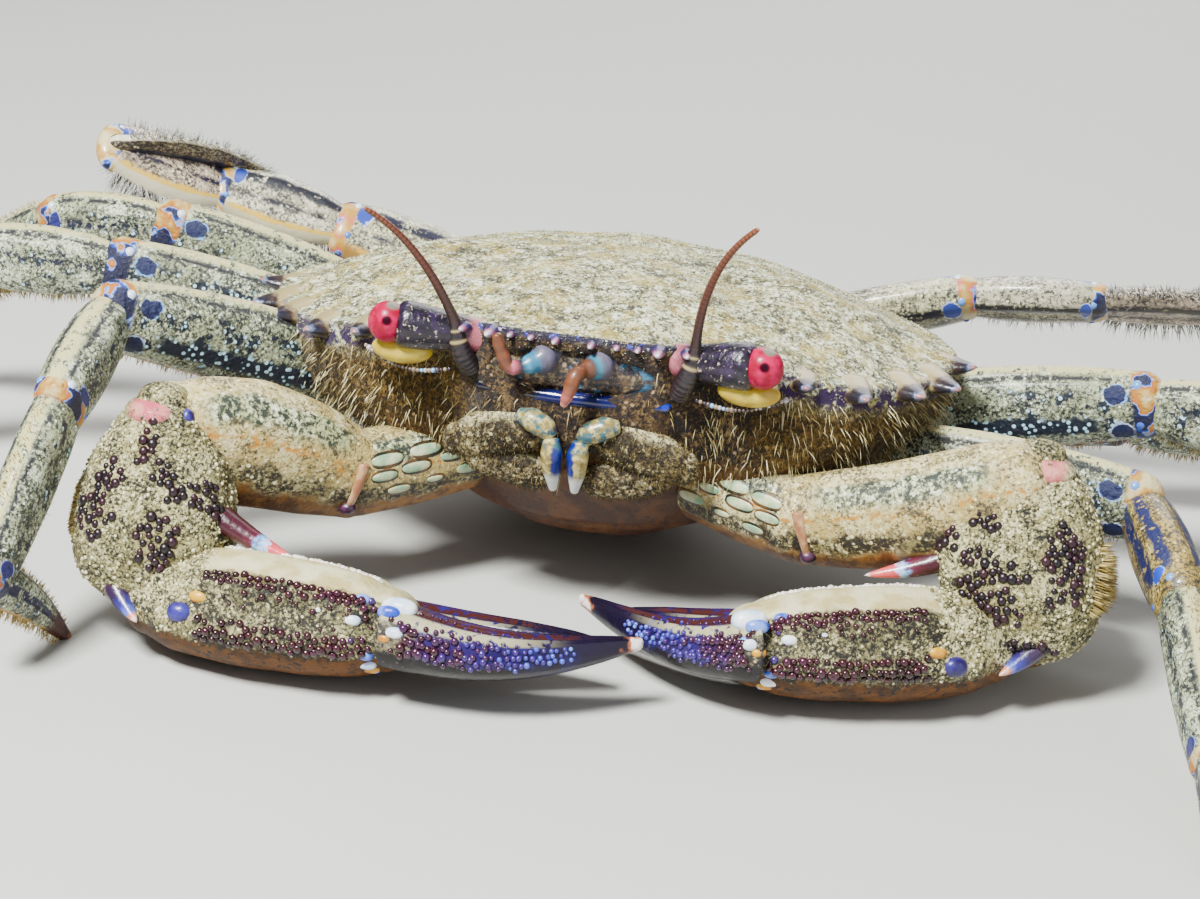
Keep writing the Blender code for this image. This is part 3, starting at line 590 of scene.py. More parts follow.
# Teeth of the rim: tip, root and width. Teeth of the brow: place, length and width.
SIDE_TEETH = [
    ((23.6, -29, 0.5), (22.6, -25.6, 0.3), 4), ((29.6, -26, -0.8), (27.6, -22.2, -0.8), 4.8),
    ((35.1, -21.4, -1), (32.2, -17.6, -1.1), 5), ((38.6, -15.8, -1.3), (35, -12.4, -1.3), 5),
    ((40, -8.8, -0.5), (35.4, -7.2, -0.9), 4.8),
]
BROW_TEETH = [(1.8, 2.2, 1.5), (4.3, 1.5, 1.3), (6.4, 1.4, 1.3), (8.5, 2.2, 2), (11.3, 1, 1.6)]
ROOT_SINKS = 0.25


def spike_form(root, tip, width, flat):
    across = unit(np.cross(unit(tip - root), UP))
    above = np.cross(across, unit(tip - root))

    def form(u, v):
        x, y = section(u, 2)
        radius = width / 2 * clamp(v / 0.06) ** 0.5 * (1 - v ** 1.5) ** 0.75
        droop = -0.04 * np.linalg.norm(tip - root) * np.sin(np.pi * v)
        middle = root + (tip - root) * v[:, None] + np.outer(droop, above)
        return middle + across * (x * radius)[:, None] + above * (y * radius * flat)[:, None], v

    return form


teeth, brow = [], []
for side in SIDES:
    for tip, root, width in SIDE_TEETH:
        deeper = np.array(root) + np.subtract(root, tip) * ROOT_SINKS
        teeth.append(roll("tooth", 18, 14, spike_form(on_side(deeper, side), on_side(tip, side), width, 0.6)))
    for x, length, width in BROW_TEETH:
        root, tip = on_side((x, -30.4, 3), side), on_side((x * 1.03, -31.5 - length * 0.7, 3), side)
        brow.append(roll("tooth", 14, 10, spike_form(root, tip, width * 0.85, 0.85)))
finish(join("carapace_teeth", teeth), TOOTH, "shell", "carapace")
finish(join("brow_teeth", brow), BROW_TOOTH, "shell")

# %% [markdown]
# Beads, grains and warts repeat hundreds of times. One low sphere is modelled, then copied to every
# place with its own size, and the copies are one mesh. Each copy carries a value between 0 and 1
# named Shade, so that neighbours can differ in colour.

# %% Beads
def joined_copies(name, points, faces, shades):
    """One mesh of many copies: points is copies x corners x 3, faces index one copy's corners."""
    count, corners = points.shape[:2]
    index = (faces + (np.arange(count) * corners)[:, None, None]).reshape(-1, 3)
    mesh = bpy.data.meshes.new(name)
    mesh.from_pydata(((points.reshape(-1, 3) - MIDDLE) * MM).tolist(), [], index.tolist())
    shade = mesh.attributes.new("Shade", "FLOAT", "POINT")
    shade.data.foreach_set("value", np.repeat(shades, corners).astype(np.float32))
    mesh.shade_smooth()
    piece = bpy.data.objects.new(name, mesh)
    bpy.context.scene.collection.objects.link(piece)
    return piece


sphere = bpy.ops.mesh.primitive_uv_sphere_add
pattern = added(sphere, "bead", segments=8, ring_count=5, radius=1)
bpy.ops.object.mode_set(mode="EDIT")
bpy.ops.mesh.quads_convert_to_tris()
bpy.ops.object.mode_set(mode="OBJECT")
BEAD_POINTS = np.array([tuple(vertex.co) for vertex in pattern.data.vertices])
BEAD_FACES = np.array([tuple(face.vertices) for face in pattern.data.polygons])
bpy.data.objects.remove(pattern, do_unlink=True)


def beads(name, centres, radii, shades=None, seed=1, outward=None, flat=1.0):
    """Beads at these centres; flat squashes each along its outward direction."""
    count = len(centres)
    radii = np.broadcast_to(radii, (count,))
    if shades is None:
        shades = np.random.default_rng(seed).random(count)
    shape = np.repeat(BEAD_POINTS[None], count, axis=0)
    if outward is not None:
        lean = np.einsum("cpi,ci->cp", shape, outward)
        shape = shape - outward[:, None, :] * (lean * (1 - flat))[:, :, None]
    return joined_copies(name, centres[:, None, :] + shape * radii[:, None, None], BEAD_FACES, shades)


# %% [markdown]
# The face. A crimson eye sits on a short dark stalk, a yellow cushion under it, and the lower rim of
# the socket is a row of pale beads. The dark spot in the eye is painted shade, where the facets look
# straight at the camera, painted as a ball of dark colour round the point of its front that faces the
# camera; a pale spot near its top is a painted highlight. Eggs of all sizes, from the eyes to the
# smallest lumps, are spheres that we add, stretch, and turn.

# %% Eyes
STALK_ROOT, STALK_END = (9.6, -28.6, 1.6), (17.6, -31.2, 2.6)
STALK = [(0, 3.4, 3.4), (0.45, 3.9, 3.8), (0.8, 4.8, 4.7), (1, 4.9, 4.7)]
EYE, EYE_RADII = (19.2, -31.5, 2.7), (2.08, 1.96, 2.16)
CUSHION, CUSHION_RADII = (17.9, -30.2, -0.3), (3.2, 1.6, 1.5)
SOCKET_RIM = np.array([(22, -29.2, -0.7), (12.8, -30.6, -1.7)])


def egg(name, centre, radii, rings=24, turn=np.eye(3), power=2):
    """A rounded egg or block: a sphere added as a primitive, squared by power and set in place."""
    piece = added(sphere, name, segments=rings * 2, ring_count=rings, radius=1)
    piece.data.uv_layers[0].name = "Form"
    ball = read(piece.data.vertices, "co", 3)
    ball = np.sign(ball) * np.abs(ball) ** (2 / power) * radii
    set_points(piece, ball @ turn + centre)
    bpy.ops.object.shade_smooth()
    return piece


def eye_paint():
    paint = Paint("eye_crimson", 0.3, coat=0.08, specular=0.2)
    paint.colour = paint.clouded(0.35, 0.7, 1.2, 3, (0.26, 0, 0.022), (0.48, 0, 0.07))
    for side in SIDES:
        centre = on_side(EYE, side)
        # Painted shade: a dark spot on the side of each eye that faces the camera, where the facets look straight at
        # it.
        paint.over(paint.spot(centre + back_way * 2, 0.5, 0.35), (0.02, 0, 0.005))
        # Painted highlight: a pale spot near the top of each eye, moved towards the camera.
        glint = centre + UP * 1.9 + camera_right * 0.5 + back_way * 0.6
        paint.over(paint.spot(glint, 0.7, 0.3), (0.14, 0.14, 0.11))
    return paint.done(paint.bump(paint.cells(0.16), 0.03, 0.2))


def stalk_paint():
    paint = Paint("stalk_dark", 0.35, coat=0.25)
    paint.colour = paint.clouded(0.45, 0.65, 1.2, 3, (0.006, 0.003, 0.01), (0.022, 0.008, 0.04))
    paint.over(paint.patches(0.61, 0.69, 0.42, 2, 0.6), (0.36, 0.3, 0.24))
    paint.over(paint.step(paint.v, 0.32, 0.1), (0.36, 0.09, 0.12))
    return paint.done(paint.grain(0.2, 0.7, 0.6, 3, 0.6))


def membrane_paint(name, first, second):
    paint = Paint(name, 0.38, coat=0.2)
    paint.colour = paint.clouded(0.38, 0.62, 1.8, 4, first, second)
    return paint.done(paint.grain(0.15, 0.5, 0.6, 3))


def bead_paint(name, stops, roughness=0.25, coat=0.3):
    paint = Paint(name, roughness, coat)
    paint.colour = paint.ramp(paint.shade(), stops)
    return paint.done(paint.grain(0.04, 0.3, 0.25, 2))


EYE_PAINT, STALK_PAINT = eye_paint(), stalk_paint()
CUSHION_PAINT = membrane_paint("cushion_yellow", (0.44, 0.28, 0.008), (0.62, 0.46, 0.04))
PALE_BEADS = bead_paint("beads_pale", [
    (0, (0.02, 0.01, 0.03)), (0.45, (0.1, 0.07, 0.06)), (0.7, (0.34, 0.27, 0.18)), (0.9, (0.45, 0.42, 0.48)), (1, SKY),
])

for side in SIDES:
    root, end = on_side(STALK_ROOT, side), on_side(STALK_END, side)
    form = limb(root, end, *limb_ways(root, end), STALK, power=2, ends=(0.3, 0.25))
    stalk = roll("stalk", 36, 30, form)
    finish(join("eyestalk_shell_" + side, [stalk]), STALK_PAINT, "eyestalk", "eyestalk_" + side)
    eye = egg("cornea_lens_" + side, on_side(EYE, side), EYE_RADII, 28)
    finish(eye, EYE_PAINT, "cornea", "cornea_" + side)
    cushion = egg("eye_cushion_" + side, on_side(CUSHION, side), CUSHION_RADII, 20)
    finish(cushion, CUSHION_PAINT, "eyestalk")
    t = np.linspace(0, 1, 24)[:, None]
    arc = SOCKET_RIM[0] * (1 - t) + SOCKET_RIM[1] * t
    arc[:, 1:] -= 0.9 * np.sin(np.pi * t[:, 0])[:, None]
    size = np.random.default_rng(8).uniform(0.17, 0.32, len(arc))
    finish(beads("socket_beads_" + side, on_side(arc, side), size, seed=7), PALE_BEADS, "shell")

# %% [markdown]
# Between the eyes are the feelers. Each long antenna is a whip of fine rings on a thick dark base;
# the two small antennules fold in front of the brow, orange, pink and turquoise. A whip is a thin
# tube along a bent path, so we roll the grid round a path of points.

# %% Tubes
def smooth_path(points):
    """A smooth path through points; further columns, such as a radius, run along with them."""
    points = np.asarray(points, float)
    steps = np.concatenate([[0], np.cumsum(np.linalg.norm(np.diff(points[:, :3], axis=0), axis=1))])
    curves = [smooth_curve(steps / steps[-1], column, 0.04) for column in points.T]
    return lambda t: np.stack([curve(t) for curve in curves], axis=-1)


def way_along(path, t):
    return units((path(clamp(t + 0.01)) - path(clamp(t - 0.01)))[:, :3])


def tube_form(points, rings=0):
    """The form of a tube through points (x, y, z, radius); rings waves its width along it."""
    path = smooth_path(points)

    def form(u, v):
        t = 0.5 - 0.5 * np.cos(np.pi * v)
        spot, ahead = path(t), way_along(path, t)
        across = units(np.cross(ahead, SIDEWAYS if abs(ahead[:, 0].mean()) < 0.7 else UP))
        above = np.cross(across, ahead)
        x, y = section(u, 2)
        tips = clamp(np.minimum(t, 1 - t) / 0.03) ** 0.5
        radius = spot[:, 3] * tips * (1 + 0.07 * np.sin(rings * 2 * np.pi * t))
        return spot[:, :3] + across * (x * radius)[:, None] + above * (y * radius)[:, None], t

    return form


print("a quarter of the way along a bent path:", smooth_path([(0, 0, 0), (1, 0, 1), (2, 0, 0)])(0.25).round(2))

# %% [markdown]
# Both kinds of feelers are painted along their length. A table of stops gives the broad colours, and
# a sine wave adds the fine dark rings.

# %% Feelers
def banded_paint(name, stops, bands, dark, amount):
    paint = Paint(name, 0.45, coat=0.3)
    base = paint.ramp(paint.v, stops)
    wave = paint.maths("SINE", paint.v * (bands * 2 * math.pi))
    paint.colour = paint.mix(paint.step(wave, 0.1, 0.7) * amount, base, dark)
    return paint.done(paint.grain(0.1, 0.4, 0.4, 3))


ANTENNA_PAINT = banded_paint("antenna_ringed", [
    (0, (0.01, 0.006, 0.014)), (0.175, (0.008, 0.005, 0.01)), (0.185, (0.34, 0.26, 0.12)),
    (0.2, (0.01, 0.006, 0.01)), (0.225, (0.01, 0.006, 0.01)), (0.235, (0.34, 0.25, 0.12)),
    (0.25, (0.012, 0.006, 0.008)), (0.6, (0.1, 0.018, 0.008)), (1, (0.2, 0.05, 0.015)),
], 42, (0.02, 0.005, 0.004), 0.6)
ANTENNULE_ROOT = [(0, (0.05, 0.035, 0.05)), (0.14, (0.12, 0.11, 0.18)), (0.24, (0.1, 0.09, 0.14))]
ANTENNULE_PAINT = {
    side: banded_paint(name, ANTENNULE_ROOT + stops, 9, (0.03, 0.008, 0.012), 0.25) for side, name, stops in (
        ("r", "antennule_right", [
            (0.32, (0.01, 0.14, 0.26)), (0.4, (0.03, 0.22, 0.36)), (0.46, (0.012, 0.01, 0.02)),
            (0.54, (0.45, 0.09, 0.13)), (0.62, (0.13, 0.035, 0.012)), (1, (0.12, 0.035, 0.01)),
        ]),
        ("l", "antennule_left", [
            (0.31, (0.02, 0.2, 0.3)), (0.38, (0.1, 0.03, 0.012)), (0.72, (0.16, 0.045, 0.012)),
            (0.88, (0.42, 0.1, 0.08)), (1, (0.5, 0.22, 0.18)),
        ]),
    )
}
ANTENNA_BASE = [(10.6, -29, -2, 1.1), (11.4, -30.7, -0.2, 1.15), (12, -31, 1.6, 0.95), (12.2, -30.9, 3, 0.7)]
ANTENNA_WHIP = {
    "r": [(-12.2, -30.9, 3), (-15.4, -35.1, 12.6), (-20.4, -39.6, 16.1)],
    "l": [(12.2, -30.9, 3), (12.6, -35.1, 13.6), (18.4, -39.8, 18.6)],
}
ANTENNULE = {
    "r": [(-2.6, -29.4, 1, 1.7), (-3.2, -31.3, 0.7, 1.45), (-4.8, -32.7, 0.1, 0.7),
          (-6.2, -33.3, 0, 0.72), (-7.2, -33.4, 2.2, 0.65), (-7.6, -33.5, 3.6, 0.5)],
    "l": [(3, -29.4, 1, 1.7), (2.6, -31.4, 0.7, 1.45), (1.4, -33, 0.6, 0.7),
          (0.8, -34.2, 0.2, 0.8), (0.4, -34.3, -1.4, 0.7), (-0.2, -34, -3.2, 0.35)],
}


def body_path(points, side="l"):
    """A path of points and radii, given in the body's own frame for the left side."""
    return [(*on_side(point, side), radius) for *point, radius in points]


for side in SIDES:
    t = np.linspace(0, 1, 12)[1:, None]
    start, middle, tip = np.array(ANTENNA_WHIP[side])
    bent = body(start * (1 - t) ** 2 + middle * 2 * t * (1 - t) + tip * t * t)
    whip = body_path(ANTENNA_BASE, side) + [(*point, 0.52 - 0.25 * share) for point, share in zip(bent, t[:, 0])]
    antenna = roll("antenna_whip_" + side, 14, 150, tube_form(whip, 45))
    finish(antenna, ANTENNA_PAINT, "feelers", "antenna_" + side)
    antennule = roll("antennule_fold_" + side, 24, 60, tube_form(body_path(ANTENNULE[side]), 6))
    finish(antennule, ANTENNULE_PAINT[side], "feelers", "antennule_" + side)

# %% [markdown]
# Behind the feelers a dark navy ridge crosses the brow, above the mouth, and the bright blue patches
# on its outer parts are painted highlights. The hollow that they fold into gets a brown and olive
# lining.

# %% Brow ridge
def epistome_paint():
    paint = Paint("epistome_blue", 0.2, coat=0.3)
    paint.colour = paint.clouded(0.48, 0.58, 6, 2, (0.004, 0.004, 0.012), (0.003, 0.005, 0.07))
    # Painted highlights: bright blue patches on the outer parts of the ridge, over its navy colour.
    side = paint.step(abs(paint.x + MIDDLE[0] * MM), 0.0035, 0.0075)
    paint.over(paint.patches(0.52, 0.6, 3, 2) * side, (0.006, 0.025, 0.36))
    return paint.done(paint.grain(0.2, 0.4, 1.4, 2))


def brow_paint():
    """The floor of the hollow behind the feelers: brown and olive with pale grains."""
    paint = Paint("brow_brown", 0.45, coat=0.2)
    paint.colour = speckled(paint, (0.22, 0.17, 0.09), (0.09, 0.05, 0.02), (0.01, 0.008, 0.016), 0.7, 0.5)
    paint.over(paint.patches(0.56, 0.64, 2.4, 3) * 0.8, (0.04, 0.16, 0.28))
    return paint.done(paint.grain(0.4, 0.8, 0.8, 4))


arc = [(10.4 - 20.8 * t, -29.3 - 1.3 * math.sin(math.pi * t), -3.2, 0.75) for t in np.arange(13) / 12]
finish(roll("epistome_ridge", 24, 90, tube_form(body_path(arc))), epistome_paint(), "mouthparts", "carapace")
finish(egg("brow_lining", body((0, -29.4, -0.4)), (10.6, 1.4, 2.6)), brow_paint(), "mouthparts")

# %% [markdown]
# Two outer mouthparts close over the mouth like doors. Each is three leaf-shaped plates under mud
# and fur, with a folded palp at its inner edge, yellow and blue with a white tip. A plate starts as
# a sphere squared into a cushion shape, and is tilted to follow the mouth.

# %% Mouthparts
def mouth_paint():
    paint = Paint("mouth_velvet", 0.75, specular=0.3)
    paint.colour = speckled(paint, (0.54, 0.48, 0.28), (0.24, 0.18, 0.07), (0.02, 0.014, 0.01), 0.5, 0.5)
    paint.over(paint.patches(0.5, 0.6, 2.8, 4) * 0.6, (0.025, 0.018, 0.012))
    height = paint.v + paint.noise(1.6, 3) * 0.1
    # Painted shade: a dark, broken patch over the middle of the plates on each side, as if in a hollow.
    for x in (6.2, -6.2):
        hollow_shade = paint.spot(body((x, -31, -8.4)), 3.2, 0.3) * paint.patches(0.4, 0.5, 1.2, 4)
        paint.over(hollow_shade * 0.85, (0.014, 0.009, 0.005))
    rim = paint.step(height, 0.74, 0.88) * paint.patches(0.46, 0.54, 0.6, 5, 0.7)
    paint.over(rim * 0.85, (0.56, 0.5, 0.29))
    return paint.done(paint.grain(0.35, 0.9, 0.5, 3, 0.7))


def palp_paint():
    paint = Paint("palp_blue_yellow", 0.3, coat=0.2)
    apart = abs(paint.x + MIDDLE[0] * MM) + paint.wander(0.0016, 0.9, 3)
    gold = paint.clouded(0.42, 0.6, 0.9, 3, (0.22, 0.16, 0.04), (0.5, 0.43, 0.18))
    paint.colour = paint.mix(paint.step(apart, 0.0013, 0.0009), gold, (0.004, 0.012, 0.17))
    turquoise = paint.patches(0.47, 0.57, 1.1, 5, 0.7) * paint.step(paint.z, 0.0205, 0.0215)
    paint.over(turquoise, (0.03, 0.1, 0.13))
    paint.over(paint.step(paint.z, 0.0186, 0.0176), (0.6, 0.6, 0.6))
    return paint.done(paint.grain(0.2, 0.5, 0.7, 3))


MOUTH, PALP = mouth_paint(), palp_paint()
# Plates: middle, half sizes and tilt in degrees. Palps: points and radii.
PLATES = [
    ((7, -29.3, -8), (5.7, 2, 2.6), 16), ((6.2, -28.7, -11.3), (5.1, 1.9, 2.2), -12),
    ((11.8, -28.6, -9.6), (1.6, 1.5, 1.7), 0),
]
PALPS = [
    [(5.3, -30.6, -5.5, 0.7), (3.8, -31.2, -5.7, 1.25), (2.3, -31.5, -6.3, 1.2), (1.6, -31.2, -7.3, 0.8)],
    [(1.6, -31.5, -7.2, 0.8), (1.35, -31.8, -8.8, 1.15), (1.3, -31.3, -10.8, 0.95), (1.1, -30.6, -13.2, 0.36)],
]
for side in SIDES:
    plates = []
    for centre, radii, tilt in PLATES:
        c, s = math.cos(math.radians(tilt)), math.sin(math.radians(tilt)) * SIDES[side]
        plates.append(egg("plate", on_side(centre, side), radii, 24, [(c, 0, -s), (0, 1, 0), (s, 0, c)], 2.35))
    finish(join("maxilliped_plates_" + side, plates), MOUTH, "mouthparts", "maxilliped_" + side)
    palps = [roll("palp", 20, 30, tube_form(body_path(path, side))) for path in PALPS]
    finish(join("palp_pair_" + side, palps), PALP, "mouthparts", "maxilliped_" + side)

# %% [markdown]
# The underside is plain and brown. The breast is a stack of level outlines, and the tail is a flat
# flap of seven rings folded under it; grooves between the rings are pressed in by a wave along v.

# %% Breast and tail
# Breast: height, half width, front and back of each level. Tail: y, z and half width.
THORAX = [
    (-6.5, 24.5, -24.5, 22.5), (-12, 24.5, -24.5, 22.5), (-15.5, 21.5, -23, 20.5), (-19.5, 16.5, -20.5, 17),
    (-22.2, 10.5, -16.5, 13),
]
TAIL = [
    (27.2, -5.2, 14), (25.6, -10.5, 12.5), (21, -15.8, 11), (14.5, -20.6, 9), (6, -23, 6.5), (-2, -23.6, 4.2),
    (-8.5, -23.5, 2),
]
BREAST_SHUTS = 0.86


def belly_paint():
    paint = Paint("belly_brown", 0.6)
    paint.colour = paint.clouded(0.38, 0.62, 4, 4, (0.045, 0.011, 0.002), (0.11, 0.036, 0.006))
    paint.over(paint.patches(0.58, 0.66, 0.7, 3), (0.02, 0.01, 0.006))
    return paint.done(paint.grain(0.3, 0.5, 0.9, 4))


def thorax_form(u, v):
    rows, share = np.linspace(0, 1, len(THORAX)), clamp(v / BREAST_SHUTS)
    z, half, front, back = (np.interp(share, rows, column) for column in np.transpose(THORAX))
    beyond = clamp((v - BREAST_SHUTS) / (1 - BREAST_SHUTS))
    shut = np.sqrt(clamp(1 - beyond ** 2))
    x, y = section(u, 2.6)
    points = np.stack([x * half * shut, (front + back) / 2 + y * (back - front) / 2 * shut, z], axis=-1)
    groove = np.exp(-(((points[:, 1] + 60) % 7.5 - 3.75) / 0.7) ** 2)
    points[:, 2] += 0.45 * groove * clamp((-14 - z) / 4)
    points[:, 2] -= 0.8 * beyond
    return body(points), v


def tail_form(u, v):
    path = smooth_path([(0, *row) for row in TAIL])
    t, dome = domed(v, 0.03, 0.04)
    inside = clamp(t)
    spot = path(inside)
    out = np.cross(way_along(path, inside), SIDEWAYS)
    x, y = section(u, 3)
    groove = np.exp(-(((inside * 6.5) % 1 - 0.5) / 0.12) ** 2)
    wave = 1 - 0.22 * groove
    half = spot[:, 3] * dome * (1 - 0.03 * (1 - wave) / 0.22)
    points = spot[:, :3] + np.outer(x * half, SIDEWAYS) + out * (y * 0.95 * wave * dome)[:, None]
    return body(points), inside


BELLY = belly_paint()
finish(roll("breast_plates", 120, 60, thorax_form), BELLY, "belly", "thorax")
finish(roll("tail_rings", 48, 110, tail_form), BELLY, "belly", "abdomen")

# %% [markdown]
# Claws. The arm comes out from under the face, then a thick wrist block, called the carpus, hangs
# from its knee, and the hand lies in front. A hand is a swollen palm with one fixed finger and one
# that moves. It is rolled forwards, so that its grained upper side faces us, and we keep three
# directions for it: along the palm, high, towards the moving finger, and inner, up in the picture.

# %% Claw joints
CLAWS = {
    "r": {"root": (-13, -21, 14.5), "hip": (-23, -29, 13.7), "knee": (-39.8, -39.8, 20.6), "wrist": (-38.5, -46.8, 5.7),
          "palm": (-13.8, -48.2, 6.1), "dactyl": (11, -47, 7.8), "finger": (6.6, -45.4, 6.4)},
    "l": {"root": (13, -21, 14.5), "hip": (24, -26, 13.9), "knee": (46, -27, 20.8), "wrist": (44.6, -32.4, 6.1),
          "palm": (21.9, -41, 6.5), "dactyl": (3.5, -36, 6.2), "finger": (6.9, -34.6, 4.4)},
}
ARM_BASE = [(0, 8, 7), (0.5, 9, 7.4), (1, 9, 7.4)]
ARM = [(0, 9.4, 7), (0.25, 11.8, 8), (0.6, 13.4, 9), (0.9, 12, 9), (1, 9.8, 8)]
# Each arm: how slim it is half way along, and how far it bows upwards there.
ARM_THIN = {"r": (1, 0.6), "l": (0.84, -0.9)}
# Wrist block: height, width and depth of each level, its middle, and its spines from its middle.
CARPUS_LEVELS = np.array([
    (3.9, 6, 6), (5, 11.5, 10.5), (7.6, 15.4, 14.2), (11.9, 16.6, 14.8), (17.4, 15, 12.6), (22.4, 8.6, 6.4),
    (24.9, 4.5, 3.2),
])
CARPUS_MIDDLE = {"r": (-39.6, -43.6), "l": (47.4, -28.7)}
CARPUS_SPINES = {
    "red": [((6.6, -0.8, 14.3), (16, -2.8, 11.2), 3), ((6.4, -3.4, 10.5), (10.4, -5.4, 8.7), 2)],
    "blue": [((-2.2, -5.6, 7.5), (1.4, -9, 5.2), 2.6)],
}
PALM = [(0, 8.4, 8), (0.12, 12, 10.6), (0.42, 14.6, 11.8), (0.75, 13.8, 11.2), (0.95, 12, 9.8), (1, 9.6, 7.8)]
PALM_RIDGES = [(0.055, 0.25, 0.02), (0.945, 0.25, 0.02), (0.2, 0.2, 0.02), (0, -0.25, 0.03), (0.12, -0.18, 0.03)]
PALM_ROLL = math.radians(66)
FINGER = [(0, 7.2, 6.8), (0.35, 5.6, 5.4), (0.7, 3.9, 3.8), (0.92, 2.2, 2.2), (1, 1.1, 1.1)]
FINGER_RIDGES = [(0.1, 0.12, 0.035), (0.22, 0.16, 0.03), (0.17, -0.22, 0.03), (0.9, 0.12, 0.035), (0.5, 0.1, 0.05)]
FINGER_FULL = 1.02
# The moving finger is 1 and the fixed one -1: both start off the palm's axis, and bow and sag.
FINGER_SETOUT = 3.3
FINGER_AHEAD = {1: 1.2, -1: -4}
FINGER_BOW = {1: 1.6, -1: -0.2}
FINGER_SAG = {1: 1.7, -1: 0.4}
FLOOR_LIFT = 0.02
JOINTS_OF = {side: {key: np.array(point, float) for key, point in CLAWS[side].items()} for side in SIDES}


def hand_ways(joints):
    along = unit(joints["palm"] - joints["wrist"])
    up = unit(UP - along * np.dot(UP, along))
    ahead = np.cross(along, up)
    if ahead[1] > 0:
        ahead = -ahead
    high = up * math.cos(PALM_ROLL) + ahead * math.sin(PALM_ROLL)
    return along, high, up * math.sin(PALM_ROLL) - ahead * math.cos(PALM_ROLL)


def on_floor(form):
    """The same form, with nothing below the floor."""
    def resting(u, v):
        points, along = form(u, v)
        points[:, 2] = np.maximum(points[:, 2], FLOOR_LIFT)
        return points, along
    return resting


print("palm points along", np.round(hand_ways(JOINTS_OF["l"])[0], 2))

# %% [markdown]
# The wrist carries the same mud as the back, but greyer. The arm is banded: cream on top, then a
# greenish speckled face, a broken orange streak and a strip of dark specks, and brown below. On the
# palm the mud is a thin band between two double rows of round maroon grains; the inner face above
# them is smooth and cream, and the lower side orange-brown. All these bands follow u, the place
# round the joint, so the painter reads u from the Form map.

# %% Claw paints
TURN = 2 * math.pi


def wrist_mud(paint):
    return speckled(paint, (0.6, 0.56, 0.32), (0.34, 0.29, 0.12), (0.018, 0.018, 0.016), 0.42, 0.4)


def wrist_paint():
    paint = Paint("wrist_velvet", 0.7, specular=0.25)
    paint.colour = wrist_mud(paint)
    paint.over(paint.step(paint.z, 6 * MM, 2.5 * MM), (0.13, 0.045, 0.01))
    return paint.done(paint.bump(paint.step(paint.cells(1.1), 0.45, 0.1), 0.25, 0.6, paint.grain(0.5, 1, 0.5, 4, 0.7)))


def arm_paint():
    paint = Paint("arm_cream", 0.5, specular=0.45)
    paint.colour = speckled(paint, (0.62, 0.54, 0.29), (0.44, 0.33, 0.11), (0.05, 0.04, 0.025), 0.45, 0.22)
    from_below = paint.away(0.5) + paint.wander(0.1, 3, 3)
    face = speckled(paint, (0.68, 0.7, 0.5), (0.4, 0.41, 0.2), (0.02, 0.028, 0.02), 0.75, 0.5)
    paint.over(paint.band(from_below, 0.325, 0.425, 0.02) * paint.band(paint.v, 0.12, 0.9, 0.06), face)
    specks = speckled(paint, (0.58, 0.53, 0.29), (0.26, 0.21, 0.08), (0.016, 0.013, 0.012), 0.6, 0.56)
    paint.over(paint.band(from_below, 0.175, 0.24, 0.012), specks)
    paint.over(paint.band(from_below, 0.28, 0.298, 0.01) * paint.patches(0.46, 0.56, 0.9, 4), (0.46, 0.2, 0.015))
    under = paint.clouded(0.42, 0.6, 1.6, 4, (0.1, 0.036, 0.004), (0.24, 0.1, 0.012))
    paint.over(paint.step(from_below, 0.195, 0.155), under)
    return paint.done(paint.grain(0.3, 0.8, 0.7, 4, 0.7))


def palm_paint():
    paint = Paint("palm_banded", 0.55, specular=0.25)
    mud = speckled(paint, (0.46, 0.41, 0.22), (0.18, 0.155, 0.065), (0.014, 0.013, 0.011), 0.42, 0.56)
    smooth = paint.clouded(0.38, 0.62, 3, 4, (0.44, 0.35, 0.15), (0.6, 0.56, 0.34))
    under = paint.clouded(0.4, 0.6, 2.2, 4, (0.12, 0.04, 0.002), (0.055, 0.019, 0.001))
    under = paint.mix(paint.patches(0.56, 0.62, 0.6, 3), under, (0.015, 0.006, 0.004))
    edge = paint.wander(0.35, 1.2, 3)
    height = paint.maths("SINE", paint.u * TURN) + edge
    paint.colour = paint.mix(paint.step(height, 0.52, 0.66), mud, smooth)
    paint.over(paint.step(height, -0.52, -0.66), under)
    heel = paint.step(paint.v + edge * 0.25, 0.31, 0.25) * paint.step(height, -0.62, -0.45)
    paint.over(heel, wrist_mud(paint))
    return paint.done(paint.grain(0.25, 0.8, 0.5, 4, 0.7))


